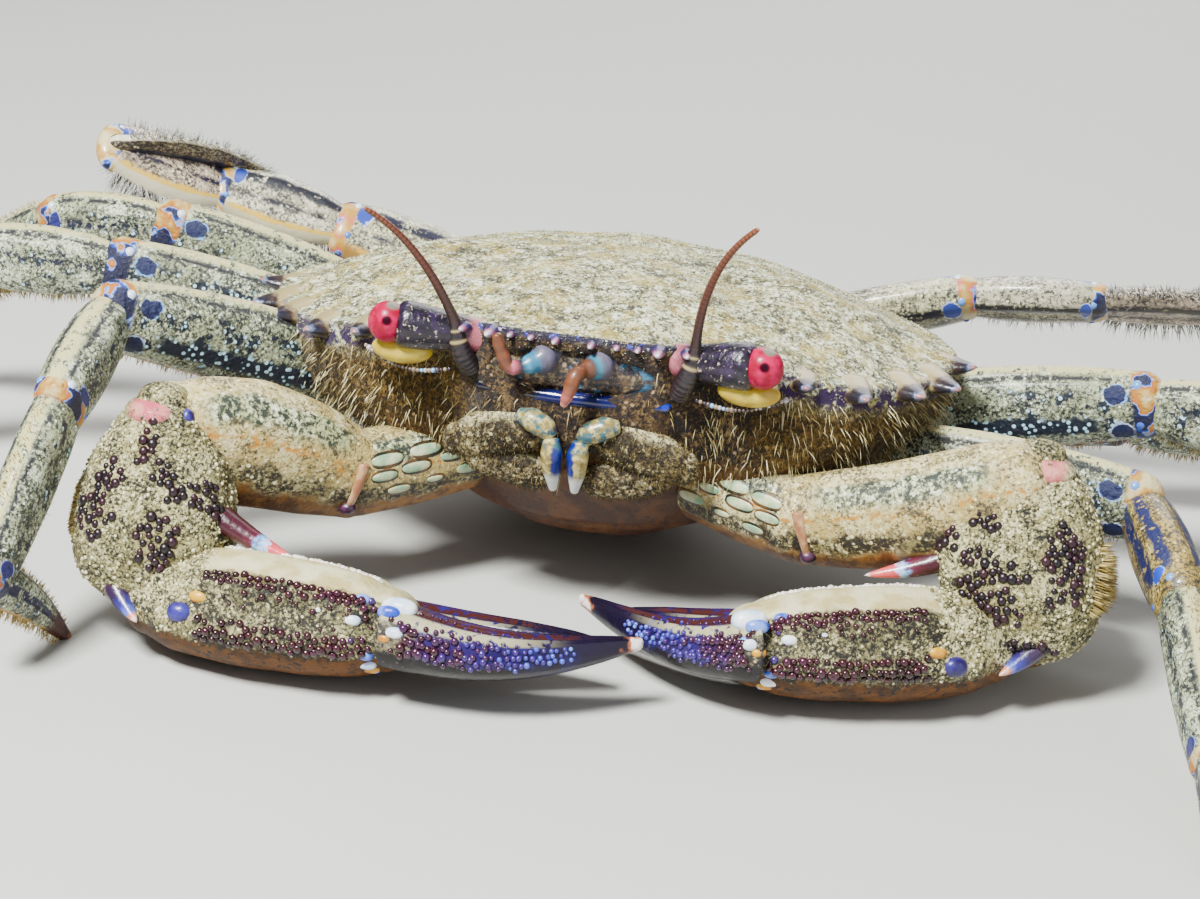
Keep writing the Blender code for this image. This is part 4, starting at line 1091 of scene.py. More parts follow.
def finger_paint(name, start):
    """Mud at the root, then violet and blue, then glossy purple-black, and a pale tip."""
    def mud(light):
        return speckled(paint, light, tuple(0.5 * value for value in light), (0.014, 0.012, 0.014), 0.42, 0.6)

    paint = Paint(name, 0.28, specular=0.3, coat=0.06)
    along = paint.v + paint.wander(0.22, 1.5, 3)
    paint.colour = paint.ramp(along, [
        (0, (0.05, 0.03, 0.05)), (0.2, (0.03, 0.014, 0.05)), (0.4, (0.018, 0.01, 0.09)), (0.62, (0.008, 0.004, 0.024)),
        (0.94, (0.006, 0.003, 0.012)), (0.98, (0.4, 0.12, 0.05)), (1, (0.75, 0.68, 0.64)),
    ])
    blue = paint.patches(0.5, 0.62, 2.2, 4) * paint.band(paint.v, 0.15, 0.75, 0.1)
    paint.over(blue * 0.5, (0.014, 0.012, 0.16))
    root = paint.step(along, 0.2, 0.08)
    paint.over(root, mud(start))
    height = paint.maths("SINE", paint.u * TURN)
    groove = paint.band(height, 0.36, 0.74, 0.06) * paint.step(paint.v, 0.78, 0.45)
    paint.over(groove * paint.patches(0.36, 0.46, 0.7, 4) * 0.9, (0.4, 0.37, 0.22))
    paint.over(paint.step(height, -0.4, -0.52) * paint.step(paint.v, 0.8, 0.5), mud((0.018, 0.014, 0.012)))
    crest = paint.band(height, 0.78, 0.97, 0.03) * paint.step(paint.v, 0.85, 0.7)
    paint.over(crest * paint.patches(0.38, 0.48, 0.7, 3), (0.042, 0.01, 0.009))
    return paint.done(paint.grain(0.15, 0.5, 0.9, 3), root * 0.35 + 0.24)


CARPUS_PAINT, ARM_PAINT, PALM_PAINT = wrist_paint(), arm_paint(), palm_paint()
DACTYL_PAINT = finger_paint("dactyl_violet", (0.3, 0.25, 0.14))
FIXED_PAINT = finger_paint("fixed_finger", (0.34, 0.26, 0.13))
MAROON_BEADS = bead_paint("grains_maroon", [
    (0, (0.016, 0.002, 0.004)), (0.5, (0.036, 0.004, 0.009)), (0.85, (0.045, 0.006, 0.022)), (1, (0.04, 0.03, 0.24)),
])
BLUE_BEADS = bead_paint("grains_blue", [
    (0, (0.032, 0.004, 0.01)), (0.35, (0.04, 0.008, 0.05)), (0.65, (0.035, 0.018, 0.2)), (0.85, (0.05, 0.07, 0.46)),
    (1, (0.14, 0.26, 0.7)),
], 0.22)
DARK_BEADS = bead_paint("grains_wine", [
    (0, (0.005, 0.0015, 0.004)), (0.6, (0.011, 0.002, 0.006)), (1, (0.026, 0.004, 0.01)),
], 0.35, 0.08)
MUD_BEADS = bead_paint("grains_mud", [
    (0, (0.08, 0.07, 0.035)), (0.3, (0.28, 0.24, 0.1)), (0.7, (0.54, 0.48, 0.25)), (1, (0.74, 0.7, 0.5)),
], 0.6, 0)
WHITE_BEADS = bead_paint("beads_white", [(0, (0.5, 0.45, 0.34)), (0.6, (0.7, 0.66, 0.58)), (1, WHITE)], 0.4, 0.1)
print("painted", len(bpy.data.materials), "materials so far")

# %% [markdown]
# Grains sit on the shell, so their places come from the form itself: we ask it for the point at a
# given u and v, and for the way out of the surface there, which is the cross of the two slopes.

# %% Points on a form
SLOPE_STEP = 0.004


def on_form(form, u, share, lift=0.0):
    """Points on a form, and their outward directions, for places round it and shares of the way along."""
    u = np.asarray(u, float) + np.zeros(len(share))
    steps = np.linspace(0, 1, 600)
    v = np.interp(share, form(np.zeros(600), steps)[1], steps)
    here = form(u, v)[0]
    round_way = form(u + SLOPE_STEP, v)[0] - form(u - SLOPE_STEP, v)[0]
    out = np.cross(round_way, form(u, clamp(v + SLOPE_STEP))[0] - form(u, clamp(v - SLOPE_STEP))[0])
    out /= np.linalg.norm(out, axis=1)[:, None] + 1e-12
    middle = form(np.concatenate([u, u + 0.5]), np.concatenate([v, v]))[0].reshape(2, -1, 3).mean(axis=0)
    if np.einsum("ij,ij->i", out, here - middle).mean() < 0:
        out = -out
    return here + out * lift, out


print("ready to place grains")

# %% [markdown]
# The hand is the showpiece of the photograph. Palm, fixed finger and moving finger are three rolled
# forms. Then come the rows of grains, a white bead edge along the far rim, and blunt knobs on the
# biting edges, large and small in turn.

# %% Hands
rng = np.random.default_rng(11)


def row_of(form, degrees, v_range, count, radius, jitter):
    """Staggered rows of grains round a form: their points, radii, ways out and places along it."""
    u, v, r = [], [], []
    for k, angle in enumerate(degrees):
        places = np.linspace(*v_range, count) + (k % 2) * (v_range[1] - v_range[0]) / count / 2
        u += list(angle / 360 + rng.normal(0, jitter, count))
        v += list(places + rng.normal(0, 0.004, count))
        r += list(radius * rng.uniform(0.75, 1.15, count))
    points, out = on_form(form, np.array(u) % 1, np.array(v))
    return points, np.array(r), out, np.array(v)


def together(rows):
    return [np.concatenate(column) for column in zip(*rows)]


def finger_form(joints, key, towards, along, high, inner):
    start = joints["palm"] + high * FINGER_SETOUT * towards + along * FINGER_AHEAD[towards]
    bow = high * FINGER_BOW[towards] * towards - inner * FINGER_SAG[towards]
    stations = [(t, w * FINGER_FULL, d * FINGER_FULL) for t, w, d in FINGER]
    return on_floor(limb(start, joints[key], high, inner, stations, bow, 2.2, FINGER_RIDGES, (0.12, 0.5)))


hands = {}
for side in SIDES:
    joints = JOINTS_OF[side]
    along, high, inner = ways = hand_ways(joints)
    palm_form = on_floor(limb(joints["wrist"], joints["palm"], high, inner, PALM, 0, 2.4, PALM_RIDGES))
    palm = roll("palm", 110, 110, palm_form)
    fixed_form = finger_form(joints, "finger", -1, *ways)
    fixed = roll("fixed_finger_" + side, 48, 90, fixed_form)
    dactyl_form = finger_form(joints, "dactyl", 1, *ways)
    dactyl = roll("claw_finger_" + side, 48, 100, dactyl_form)
    finish(join("palm_shell_" + side, [palm]), PALM_PAINT, "claws", "claw_palm_" + side)
    finish(fixed, FIXED_PAINT, "fingers", "claw_palm_" + side)
    finish(dactyl, DACTYL_PAINT, "fingers", "claw_dactyl_" + side)
    hands[side] = (palm_form, dactyl_form, np.array(ways))

    near, far = 0.3 if side == "r" else 0.36, 0.97
    points, radii, out, v = together([
        row_of(palm_form, (31, 22.5), (near, far), 22, 0.42, 0.005),
        row_of(palm_form, (15,), (near + 0.12, far), 9, 0.34, 0.008),
        row_of(palm_form, (-12, -20, -28), (near, far), 20, 0.43, 0.005),
        row_of(palm_form, (6, -2), (0.4, 0.95), 7, 0.22, 0.02),
    ])
    shades = clamp(rng.random(len(v)) * 0.6 + (v - 0.6) * 0.9)
    finish(beads("palm_grains_" + side, points, radii, shades, outward=out), MAROON_BEADS, "claws")

    points, radii, out, v = together([
        row_of(dactyl_form, (12, -2, -16), (0.1, 0.76), 27, 0.44, 0.008),
        row_of(dactyl_form, (24, -28), (0.04, 0.55), 15, 0.32, 0.012),
        row_of(dactyl_form, (60,), (0.1, 0.6), 14, 0.22, 0.012),
    ])
    shades = clamp(rng.random(len(v)) * 0.45 + v * 1.25 - 0.28)
    finish(beads("finger_grains_" + side, points, radii * (1.15 - 0.75 * v), shades), BLUE_BEADS, "fingers")

    u = 84 / 360 + rng.normal(0, 0.003, 40)
    points, out = on_form(palm_form, u, np.linspace(0.3, 0.96, 40), -0.1)
    finish(beads("palm_edge_beads_" + side, points, rng.uniform(0.26, 0.42, 40), seed=3), WHITE_BEADS, "claws")
    v = np.linspace(0.22, 0.86, 15)
    size = np.where(np.arange(15) % 3 == 0, 0.62, 0.38) * (1.15 - 0.6 * v)
    points, size = together([(on_form(form, u, v)[0], size) for form, u in ((dactyl_form, 0.5), (fixed_form, 0))])
    finish(beads("finger_knobs_" + side, points, size, np.full(30, 0.2)), DARK_BEADS, "fingers")

# %% [markdown]
# Small lumps finish each hand: a violet ball at its heel with an orange spot beside it, and white,
# blue and orange lumps at the hinge of the moving finger. Each is an egg that lies along the hand,
# given by the form it sits on, the share of the way along it, the angle round it and its size.

# %% Heel ball, spots and hinge of each hand
BALL_PAINT = membrane_paint("ball_violet", (0.01, 0.004, 0.06), (0.03, 0.022, 0.24))
SPOT_ORANGE = membrane_paint("spot_orange", (0.64, 0.34, 0), (0.42, 0.13, 0.002))
LUMP_WHITE = membrane_paint("lump_white", (0.5, 0.62, 0.85), (0.85, 0.86, 0.9))
LUMP_BLUE = membrane_paint("lump_blue", (0.01, 0.04, 0.45), (0.14, 0.26, 0.75))
ON_PALM, ON_FINGER = 0, 1
HEEL = {"r": ((0.21, -8), (0.285, 5)), "l": ((0.23, -17), (0.31, -4))}
for side in SIDES:
    ball, spot = HEEL[side]
    for name, paint, longer, places in (
        ("ball", BALL_PAINT, 1, [(ON_PALM, *ball, 1.3)]),
        ("orange_spot", SPOT_ORANGE, 1.3, [
            (ON_PALM, *spot, 0.8), (ON_PALM, 0.985, -66, 0.8), (ON_FINGER, 0.02, -6, 0.55),
        ]),
        ("white_lumps", LUMP_WHITE, 1.3, [
            (ON_FINGER, 0.05, 62, 1.4), (ON_PALM, 0.78, 10, 0.45), (ON_PALM, 0.92, 6, 0.7),
            (ON_FINGER, 0.06, 6, 0.75), (ON_PALM, 0.98, -52, 0.8),
        ]),
        ("blue_lumps", LUMP_BLUE, 1.3, [
            (ON_FINGER, 0.02, 40, 0.9), (ON_PALM, 0.94, 36, 0.7), (ON_FINGER, 0.09, 14, 0.55),
            (ON_PALM, 0.98, -34, 0.7), (ON_PALM, 0.985, -78, 0.6),
        ]),
    ):
        lumps = []
        for which, share, angle, r in places:
            points, out = on_form(hands[side][which], angle / 360 % 1, [share], -0.35)
            lumps.append(egg(name, points[0], (r * longer, r * 0.85, r * 0.8), 14, hands[side][2], 2.3))
        finish(join(f"hand_{name}_{side}", lumps), paint, "claws")

# %% [markdown]
# Next comes the wrist. Its block is a stack of level outlines that leans back towards its knee. Two
# tools scatter its grains: a cloud of noise that says where they lie thick, and a sieve that keeps
# only those which don't run into each other.

# %% The form of a wrist
def wrist_form(side):
    middle_x, middle_y = CARPUS_MIDDLE[side]
    heights, widths, depths = CARPUS_LEVELS.T
    low, tall = heights[0], heights[-1] - heights[0]
    share = (heights - low) / tall
    width_at, depth_at = smooth_curve(share, widths, 0.04), smooth_curve(share, depths, 0.04)

    def form(u, v):
        t, dome = domed(v, 0.05, 0.05)
        inside = clamp(t)
        x, y = section(u, 2.3)
        z = low + tall * t
        lean = np.maximum((z - 11.9) * 0.22, 0)
        crease = 1 - 0.05 * np.exp(-((inside - 0.62) / 0.05) ** 2)
        px = middle_x + x * width_at(inside) / 2 * dome * crease
        if side == "l":
            px -= 2.4 * clamp(-x) * np.exp(-((z - 17) / 4) ** 2)
        py = middle_y + lean + y * depth_at(inside) / 2 * dome * crease
        return np.stack([px, py, z], axis=-1), inside

    return form


def cloud(points, size):
    """Smooth random values, one for each point, from -1 to 1."""
    return np.array([noise.noise(Vector(point) / size) for point in points])


def spaced(points, radii, share):
    """Indices of points that stay apart by a share of their two radii."""
    kept = [0]
    for i in range(1, len(points)):
        apart = np.linalg.norm(points[kept] - points[i], axis=1)
        if np.all(apart > (radii[kept] + radii[i]) * share):
            kept.append(i)
    return kept


print("of three grains in a row these fit:", spaced(np.array([(0, 0, 0), (0.5, 0, 0), (2, 0, 0)]), np.ones(3), 0.7))

# %% [markdown]
# The tables say where the clusters and the coloured spots lie. The skin over the knee is pink, and
# fades into the mud of the wrist.

# %% Spots of the arm and wrist
# Clusters of grains on the wrist: place round it, share of its height, and half-widths of both.
CLUSTERS = {
    "r": [(0.675, 0.67, 0.04, 0.08), (0.665, 0.5, 0.05, 0.1), (0.795, 0.44, 0.045, 0.13), (0.83, 0.19, 0.035, 0.07),
          (0.75, 0.84, 0.02, 0.09), (0.795, 0.71, 0.03, 0.07), (0.85, 0.63, 0.045, 0.05), (0.925, 0.6, 0.045, 0.07)],
    "l": [(0.69, 0.43, 0.06, 0.18), (0.825, 0.57, 0.05, 0.17), (0.62, 0.2, 0.035, 0.08), (0.78, 0.17, 0.05, 0.05),
          (0.66, 0.72, 0.035, 0.04), (0.59, 0.6, 0.045, 0.06)],
}
GRAIN_TRIES, MUD_GRAINS, HEEL_GRAINS = 9000, 1300, 260
# Green spots of the arm's base: share of its length, angle round it and size.
ARM_SPOTS = [
    (0.8, 60, 1.1), (0.56, 78, 1), (0.84, 82, 0.9), (0.46, 56, 1.1), (0.24, 72, 0.8), (0.72, 100, 0.8),
    (0.08, 92, 1), (0.4, 96, 0.6),
]
SPOT_GREEN = membrane_paint("arm_spots_green", (0.2, 0.34, 0.2), (0.54, 0.56, 0.34))
SPOT_RIM = membrane_paint("arm_rims_black", (0.008, 0.008, 0.004), (0.1, 0.045, 0.008))
HIP_SKIN = membrane_paint("hip_skin_orange", (0.3, 0.11, 0.05), (0.52, 0.32, 0.17))
HIP_KNOB = membrane_paint("hip_knob_wine", (0.02, 0.004, 0.02), (0.09, 0.02, 0.07))
# From the middle of each knee: where its pink skin and its blue or white lump lie.
KNEE_SPOTS = {"r": [(-0.6, -0.9, -0.7), (2.9, -1.2, -1.2)], "l": [(0.6, -0.9, -0.7), (-3.2, -1.4, -0.9)]}
KNEE_LUMP = {"r": ("knee_blue_r", (0.8, 0.9, 1.3), BALL_PAINT), "l": ("knee_white_l", (1.7, 1.3, 1), LUMP_WHITE)}


def knee_spots(side):
    x, y = CARPUS_MIDDLE[side]
    return np.array((x, y + 2.9, CARPUS_LEVELS[-1][0] - 0.9)) + KNEE_SPOTS[side]


def knee_skin_paint():
    """Pink skin that fades into the mud round it."""
    paint = Paint("knee_pink", 0.42, coat=0.1)
    paint.colour = wrist_mud(paint)
    skin = paint.clouded(0.38, 0.62, 1.8, 4, (0.52, 0.06, 0.11), (0.62, 0.22, 0.18))
    for side in SIDES:
        patch = paint.spot(knee_spots(side)[0] + np.array((0, -1.2, 0.6)), 2.1)
        paint.over(patch * paint.patches(0.34, 0.44, 0.9, 4), skin)
    return paint.done(paint.grain(0.3, 0.9, 0.5, 4, 0.7))


KNEE_PINK = knee_skin_paint()
print("clusters", {side: len(places) for side, places in CLUSTERS.items()}, "spots", len(ARM_SPOTS))

# %% [markdown]
# Arm and wrist are made together for each side. The arm's base carries green spots with black rims,
# and a strip of orange skin that ends in a wine-coloured knob closes the hip. The wine-black grains
# lie only on the wrist's front, where the photograph shows them. Mud-coloured grains fill in between.

# %% Arm and wrist
for side, mirror in SIDES.items():
    root, hip, knee = (JOINTS_OF[side][key] for key in ("root", "hip", "knee"))
    base_form = limb(root, hip, *limb_ways(root, hip), ARM_BASE)
    finish(roll("arm_base_" + side, 56, 40, base_form), ARM_PAINT, "claws", "claw_base_" + side)
    along = unit(hip - root)
    spots, rims = [], []
    for share, angle, r in ARM_SPOTS:
        points, out = on_form(base_form, mirror * angle / 360 % 1, [share], -0.15)
        turn = np.array([along, np.cross(out[0], along), out[0]])
        spots.append(egg("spot", points[0] + out[0] * 0.05, (r * 1.7, r * 0.6, 0.26), 10, turn, 2.4))
        rims.append(egg("rim", points[0], (r * 1.7 + 0.35, r * 0.6 + 0.28, 0.22), 10, turn, 2.4))
    finish(join("arm_spots_" + side, spots), SPOT_GREEN, "claws")
    finish(join("arm_spot_rims_" + side, rims), SPOT_RIM, "claws")

    wide, flat = limb_ways(hip, knee)
    thin, bow = ARM_THIN[side]
    stations = [(t, w * (1 - (1 - thin) * math.sin(math.pi * t)), d) for t, w, d in ARM]
    arm_form = limb(hip, knee, wide, flat, stations, wide * bow, 2.4, [(0, 0.3, 0.03), (0.07, -0.2, 0.03)])
    finish(roll("arm_" + side, 80, 70, arm_form), ARM_PAINT, "claws", "claw_merus_" + side)
    strip, out = on_form(arm_form, mirror * np.linspace(64, 122, 9) / 360 % 1, np.full(9, 0.03), -0.05)
    skin = tube_form(np.column_stack([strip, np.linspace(0.65, 0.36, 9)]))
    finish(roll("hip_skin_" + side, 14, 40, skin), HIP_SKIN, "claws")
    finish(egg("hip_knob_" + side, strip[-1], (0.9, 0.8, 0.75), 12), HIP_KNOB, "claws")

    block_form = wrist_form(side)
    finish(roll("wrist_" + side, 110, 90, block_form), CARPUS_PAINT, "claws", "claw_carpus_" + side)
    middle = np.array((*CARPUS_MIDDLE[side], 0))
    for colour, paint in (("red", SPINE), ("blue", SPINE_BLUE)):
        spines = []
        for *ends, width in CARPUS_SPINES[colour]:
            start, end = (middle + np.multiply(point, (-mirror, 1, 1)) for point in ends)
            spines.append(roll("spine", 20, 24, spike_form(start, end, width, 0.9)))
        finish(join(f"wrist_spine_{colour}_{side}", spines), paint, "claws", "claw_carpus_" + side)

    u, v = rng.random(GRAIN_TRIES), rng.uniform(0.04, 0.92, GRAIN_TRIES)
    points, out = on_form(block_form, u, v)
    wobble = 0.9 * cloud(points, 1.5) + 0.5 * cloud(points, 0.8)
    inside = [((u - cu) / du) ** 2 + ((v - cv) / dv) ** 2 for cu, cv, du, dv in CLUSTERS[side]]
    dark = np.min(inside, axis=0) + wobble < 0.95
    pick, radii = np.flatnonzero(dark), rng.uniform(0.34, 0.6, GRAIN_TRIES)
    pick = pick[spaced(points[pick], radii[pick], 0.74)]
    finish(beads("wrist_grains_" + side, points[pick], radii[pick], outward=out[pick], flat=0.8), DARK_BEADS, "claws")
    pink, lump = knee_spots(side)
    finish(egg("knee_pink_" + side, pink, (3.1, 2.5, 1.5), 16), KNEE_PINK, "claws")
    name, size, paint = KNEE_LUMP[side]
    finish(egg(name, lump, size, 14), paint, "claws")
    pick = np.flatnonzero(~dark)[:MUD_GRAINS]
    around, share = rng.uniform(-0.1, 0.3, HEEL_GRAINS) % 1, rng.uniform(0.1, 0.3, HEEL_GRAINS)
    grains, ways = together([(points[pick], out[pick]), on_form(hands[side][0], around, share)])
    size = rng.uniform(0.1, 0.23, len(grains))
    finish(beads("wrist_mud_" + side, grains, size, seed=4, outward=ways), MUD_BEADS, "claws")

# %% [markdown]
# Legs. Each has four joints, set out from its root by lengths and headings, and a skin fold closes
# each knee. Three pairs walk on the floor. The last pair swims: it is held out behind, and ends in
# a thin paddle. The poses are the same numbers as in the solids, so every joint lies over its solid.

# %% Leg joints
LEG_LENGTHS = {2: (38.5, 14, 19.5, 16), 3: (38, 15, 20, 18), 4: (38, 14, 20, 18), 5: (23.5, 15, 14.5, 20)}
LEG_ROOTS = {2: (21, -9, 15), 3: (21.5, 0, 14.2), 4: (20, 9, 13.2), 5: (15, 19, 18)}
# Each joint's turn and rise in degrees; where the rise is None, the tip comes down to the floor.
LEG_POSES = {
    "2_r": ((-140.2, 21.8), (-92, -22), (-97, -42), (74, None)),
    "3_r": ((-165.2, 18.3), (-171, 2), (-172.4, -42), (-178, None)),
    "4_r": ((-167.5, 22.6), (177, -5), (165.3, -35), (166, None)),
    "5_r": ((-170.3, 19), (-168.3, 16.2), (-149.7, 23.4), (38, -16.5)),
    "2_l": ((-12.5, 2.6), (-71.6, -16.8), (-78.1, -25.6), (-88.5, None)),
    "3_l": ((-4.5, 13), (-8, -2), (-8, -35), (-8, None)),
    "4_l": ((14, 0), (14, -5), (18, -20), (18, None)),
    "5_l": ((2.8, 16.9), (0, 4.6), (0, 4.4), (5, -4)),
}
SWIM_TWIST = {"r": math.radians(42), "l": math.radians(50)}
JOINTS = ("merus", "carpus", "propodus", "dactyl")
WALKING_SHAPES = [
    [(0, 7, 6), (0.12, 6.8, 5.4), (0.35, 8.4, 5.4), (0.62, 8.8, 5.4), (0.85, 8.2, 5.4), (1, 7.2, 5.2)],
    [(0, 5, 4.4), (0.2, 6.6, 5.2), (0.5, 7.6, 5.6), (0.8, 7.6, 5.4), (1, 6.8, 5)],
    [(0, 5.8, 4.4), (0.2, 7, 4.8), (0.5, 7.2, 4.8), (0.8, 6.4, 4.4), (1, 5.2, 3.8)],
    [(0, 4, 3), (0.15, 4.4, 3), (0.45, 3.5, 2.5), (0.8, 2.1, 1.7), (1, 1.1, 1.1)],
]
SWIMMING_SHAPES = [
    [(0, 6.4, 5), (0.2, 7.6, 5.2), (0.55, 9, 5.4), (0.85, 8.4, 5.2), (1, 7, 4.8)],
    [(0, 4.8, 3.8), (0.25, 7, 4.4), (0.6, 8, 4.4), (1, 6.4, 4)],
    [(0, 5, 3), (0.25, 7.4, 3.2), (0.6, 8.2, 3.2), (1, 6, 2.8)],
    [(0, 4, 2.4), (0.12, 6.4, 2), (0.35, 8.8, 1.6), (0.6, 9, 1.4), (0.85, 6, 1.2), (1, 1.8, 0.9)],
]
JOINT_RIDGES = [
    [(0, 0.35, 0.05), (0.07, -0.18, 0.03), (0.93, -0.18, 0.03), (0.5, 0.25, 0.06)],
    [(0, 0.3, 0.05), (0.15, 0.22, 0.05), (0.22, -0.2, 0.03), (0.85, 0.22, 0.05), (0.78, -0.2, 0.03)],
    [(0, 0.25, 0.05), (0.25, -0.22, 0.05), (0.75, -0.22, 0.05), (0.5, 0.25, 0.05)],
    [(0, 0.2, 0.06), (0.25, -0.22, 0.06), (0.75, -0.22, 0.06), (0.5, 0.2, 0.06)],
]
LEG_BOW = 0.7


def leg_points(leg):
    """The ends of a leg's joints, from its root to its tip."""
    points = [np.multiply(LEG_ROOTS[int(leg[0])], (SIDES[leg[2]], 1, 1))]
    for (turn, rise), length in zip(LEG_POSES[leg], LEG_LENGTHS[int(leg[0])]):
        if rise is None:
            rise = -math.degrees(math.asin(min(points[-1][2] / length, 0.95)))
        turn, rise = math.radians(turn), math.radians(rise)
        way = np.array([math.cos(turn) * math.cos(rise), math.sin(turn) * math.cos(rise), math.sin(rise)])
        points.append(points[-1] + way * length)
    return points


print("leg tips", {leg: np.round(leg_points(leg)[-1]).tolist() for leg in LEG_POSES})

# %% [markdown]
# The legs are the most coloured part after the claws. Their pattern is placed on the Form map: u
# 0.25 and 0.75 are the flat faces, u 0 is the upper edge and 0.5 the lower one. Three tools draw it:
# stripes along a joint, ovals with a pale rim, and the patchy colours of a knee.

# %% Stripes and ovals
def stripe(paint, place, half, colour, v_range=None, wander=0.03, worn=0.0):
    """A stripe along the joint; worn is the share of it that noise eats away."""
    inside = paint.step(paint.away(place) + paint.wander(wander, 2, 3), half + 0.012, half - 0.012)
    if v_range:
        inside = inside * paint.band(paint.v, *v_range, 0.03)
    if worn:
        edge = 0.38 + 0.24 * worn
        inside = inside * paint.patches(edge - 0.03, edge + 0.03, 1, 4, 0.7)
    paint.over(inside, colour)


def oval(paint, place, v, half_u, half_v, inside=NAVY, rim=SKY):
    across, along = paint.away(place) / half_u, (paint.v - v) / half_v
    square = across * across + along * along + paint.wander(2, 1.5, 4)
    paint.over(paint.step(square, 1.25, 1.05) * paint.patches(0.44, 0.52, 1, 2), rim)
    paint.over(paint.step(square, 1, 0.75), inside)


def knee_colour(paint, skin, sea, top=False):
    """Islands of navy with a blue and white shore, in orange or pink skin."""
    wash = paint.noise(3, 3, 0.45)
    if top:
        wash = wash + (0.2 - paint.away(0)) * 0.4
    return paint.ramp(wash, [
        (0, (0.005, 0.005, 0.02)), (sea, (0.006, 0.007, 0.04)), (sea + 0.02, (0.01, 0.06, 0.42)),
        (sea + 0.035, (0.26, 0.4, 0.64)), (sea + 0.05, skin), (sea + 0.12, (0.44, 0.22, 0.02)),
        (0.66, (0.56, 0.46, 0.24)),
    ])


print("drawing tools:", [tool.__name__ for tool in (stripe, oval, knee_colour)])

# %% [markdown]
# Along the upper edge of a walking leg runs a cream line with a thin dark one beside it. The flat
# faces have dark mottles and small light-blue dots, and near each knee there are navy ovals. One
# joint differs: the second leg's wrist joint has blue stripes with yellow between them.

# %% Paints of the walking legs
def walking_paint(joint):
    paint = Paint(f"leg_{joint}_speckled", 0.5, coat=0.1, specular=0.45)
    paint.colour = speckled(paint, (0.62, 0.68, 0.5), (0.34, 0.36, 0.21), (0.014, 0.018, 0.018), 0.42, 0.4)
    long_joint, tip, low = joint == "merus", joint == "dactyl", paint.away(0.5)
    edge = 0.53 if long_joint else 0.55
    face = paint.step(low, 0.1, 0.15) * paint.step(low, 0.38, 0.32)
    mottle = paint.patches(edge, edge + 0.05, 2, 5, 0.7) * face
    if long_joint:
        low = paint.band(low - paint.noise(2, 4) * 0.06, 0.125, 0.205, 0.012) * paint.band(paint.v, 0.06, 0.88, 0.03)
        mottle = paint.maths("MAXIMUM", mottle, low)
    paint.over(mottle, (0.006, 0.01, 0.022))
    paint.over(paint.step(paint.cells(0.7), 0.38, 0.28) * mottle, (0.48, 0.76, 0.9))
    stripe(paint, 0, 0.045, (0.56, 0.5, 0.24), worn=0.25)
    for place in (0.08, 0.92):
        stripe(paint, place, 0.018, (0.012, 0.012, 0.016), (0.08, 0.94), 0.03, 0.35)
    if joint != "carpus":
        stripe(paint, 0.5, 0.055, (0.44, 0.21, 0.025), (0.05, 0.95), 0.04, 0.3)
    if long_joint:
        for place in (0.17, 0.83):
            oval(paint, place, 0.925, 0.05, 0.034)
        for place in (0.35, 0.65):
            oval(paint, place, 0.935, 0.055, 0.036, NAVY, (0.45, 0.55, 0.8))
    elif tip:
        for place in (0.25, 0.75):
            stripe(paint, place, 0.04, (0.008, 0.008, 0.04), None, 0.05, 0.2)
        paint.over(paint.step(paint.v, 0.62, 0.8), (0.05, 0.01, 0.006))
        paint.over(paint.step(paint.v, 0.95, 0.99), (0.3, 0.12, 0.04))
    else:
        for place in (0.22, 0.78):
            stripe(paint, place, 0.026, (0.008, 0.01, 0.03), (0.12, 0.85), 0.1, 0.5)
            oval(paint, place, 0.94, 0.06, 0.05, (0.01, 0.012, 0.14), (0.3, 0.38, 0.7))
    if not tip:
        knee = 0.96 if long_joint else 0.975
        paint.over(paint.step(paint.v, knee, knee + 0.015), knee_colour(paint, (0.38, 0.09, 0.004), 0.46, True))
    if not tip and not long_joint:
        paint.over(paint.step(paint.v, 0.05, 0.02), (0.3, 0.1, 0.03))
    return paint.done(paint.bump(paint.step(paint.cells(1), 0.42, 0.12), 0.15, 0.5, paint.grain(0.3, 0.9, 0.5, 4, 0.7)))


def banded_leg_paint():
    """The second leg's wrist joint: dark blue stripes with yellow between them."""
    paint = Paint("leg_carpus_blue_stripes", 0.4, coat=0.35)
    paint.colour = speckled(paint, (0.48, 0.38, 0.12), (0.34, 0.23, 0.05), (0.03, 0.025, 0.02), 0.45, 0.45)
    for place in (0.1, 0.22, 0.36, 0.64, 0.78, 0.9):
        stripe(paint, place, 0.036, (0.006, 0.01, 0.07), (0.08, 0.9), 0.07, 0.15)
    oval(paint, 0.17, 0.9, 0.05, 0.05, (0.01, 0.05, 0.5))
    oval(paint, 0.83, 0.9, 0.06, 0.06, NAVY, (0.2, 0.3, 0.65))
    paint.over(paint.step(paint.v, 0.06, 0.02), (0.55, 0.13, 0.03))
    return paint.done(paint.grain(0.2, 0.6, 0.6, 4, 0.7))


WALK_PAINTS = [walking_paint(joint) for joint in JOINTS]
BLUE_WRIST = banded_leg_paint()
print("walking:", [paint.name for paint in WALK_PAINTS], BLUE_WRIST.name)

# %% [markdown]
# The swimming legs are smoother and paler, with stripes along their faces, and the paddle is nearly
# all blue. The thin skin of the knees gets the knee colours only, and the knobs many colours.

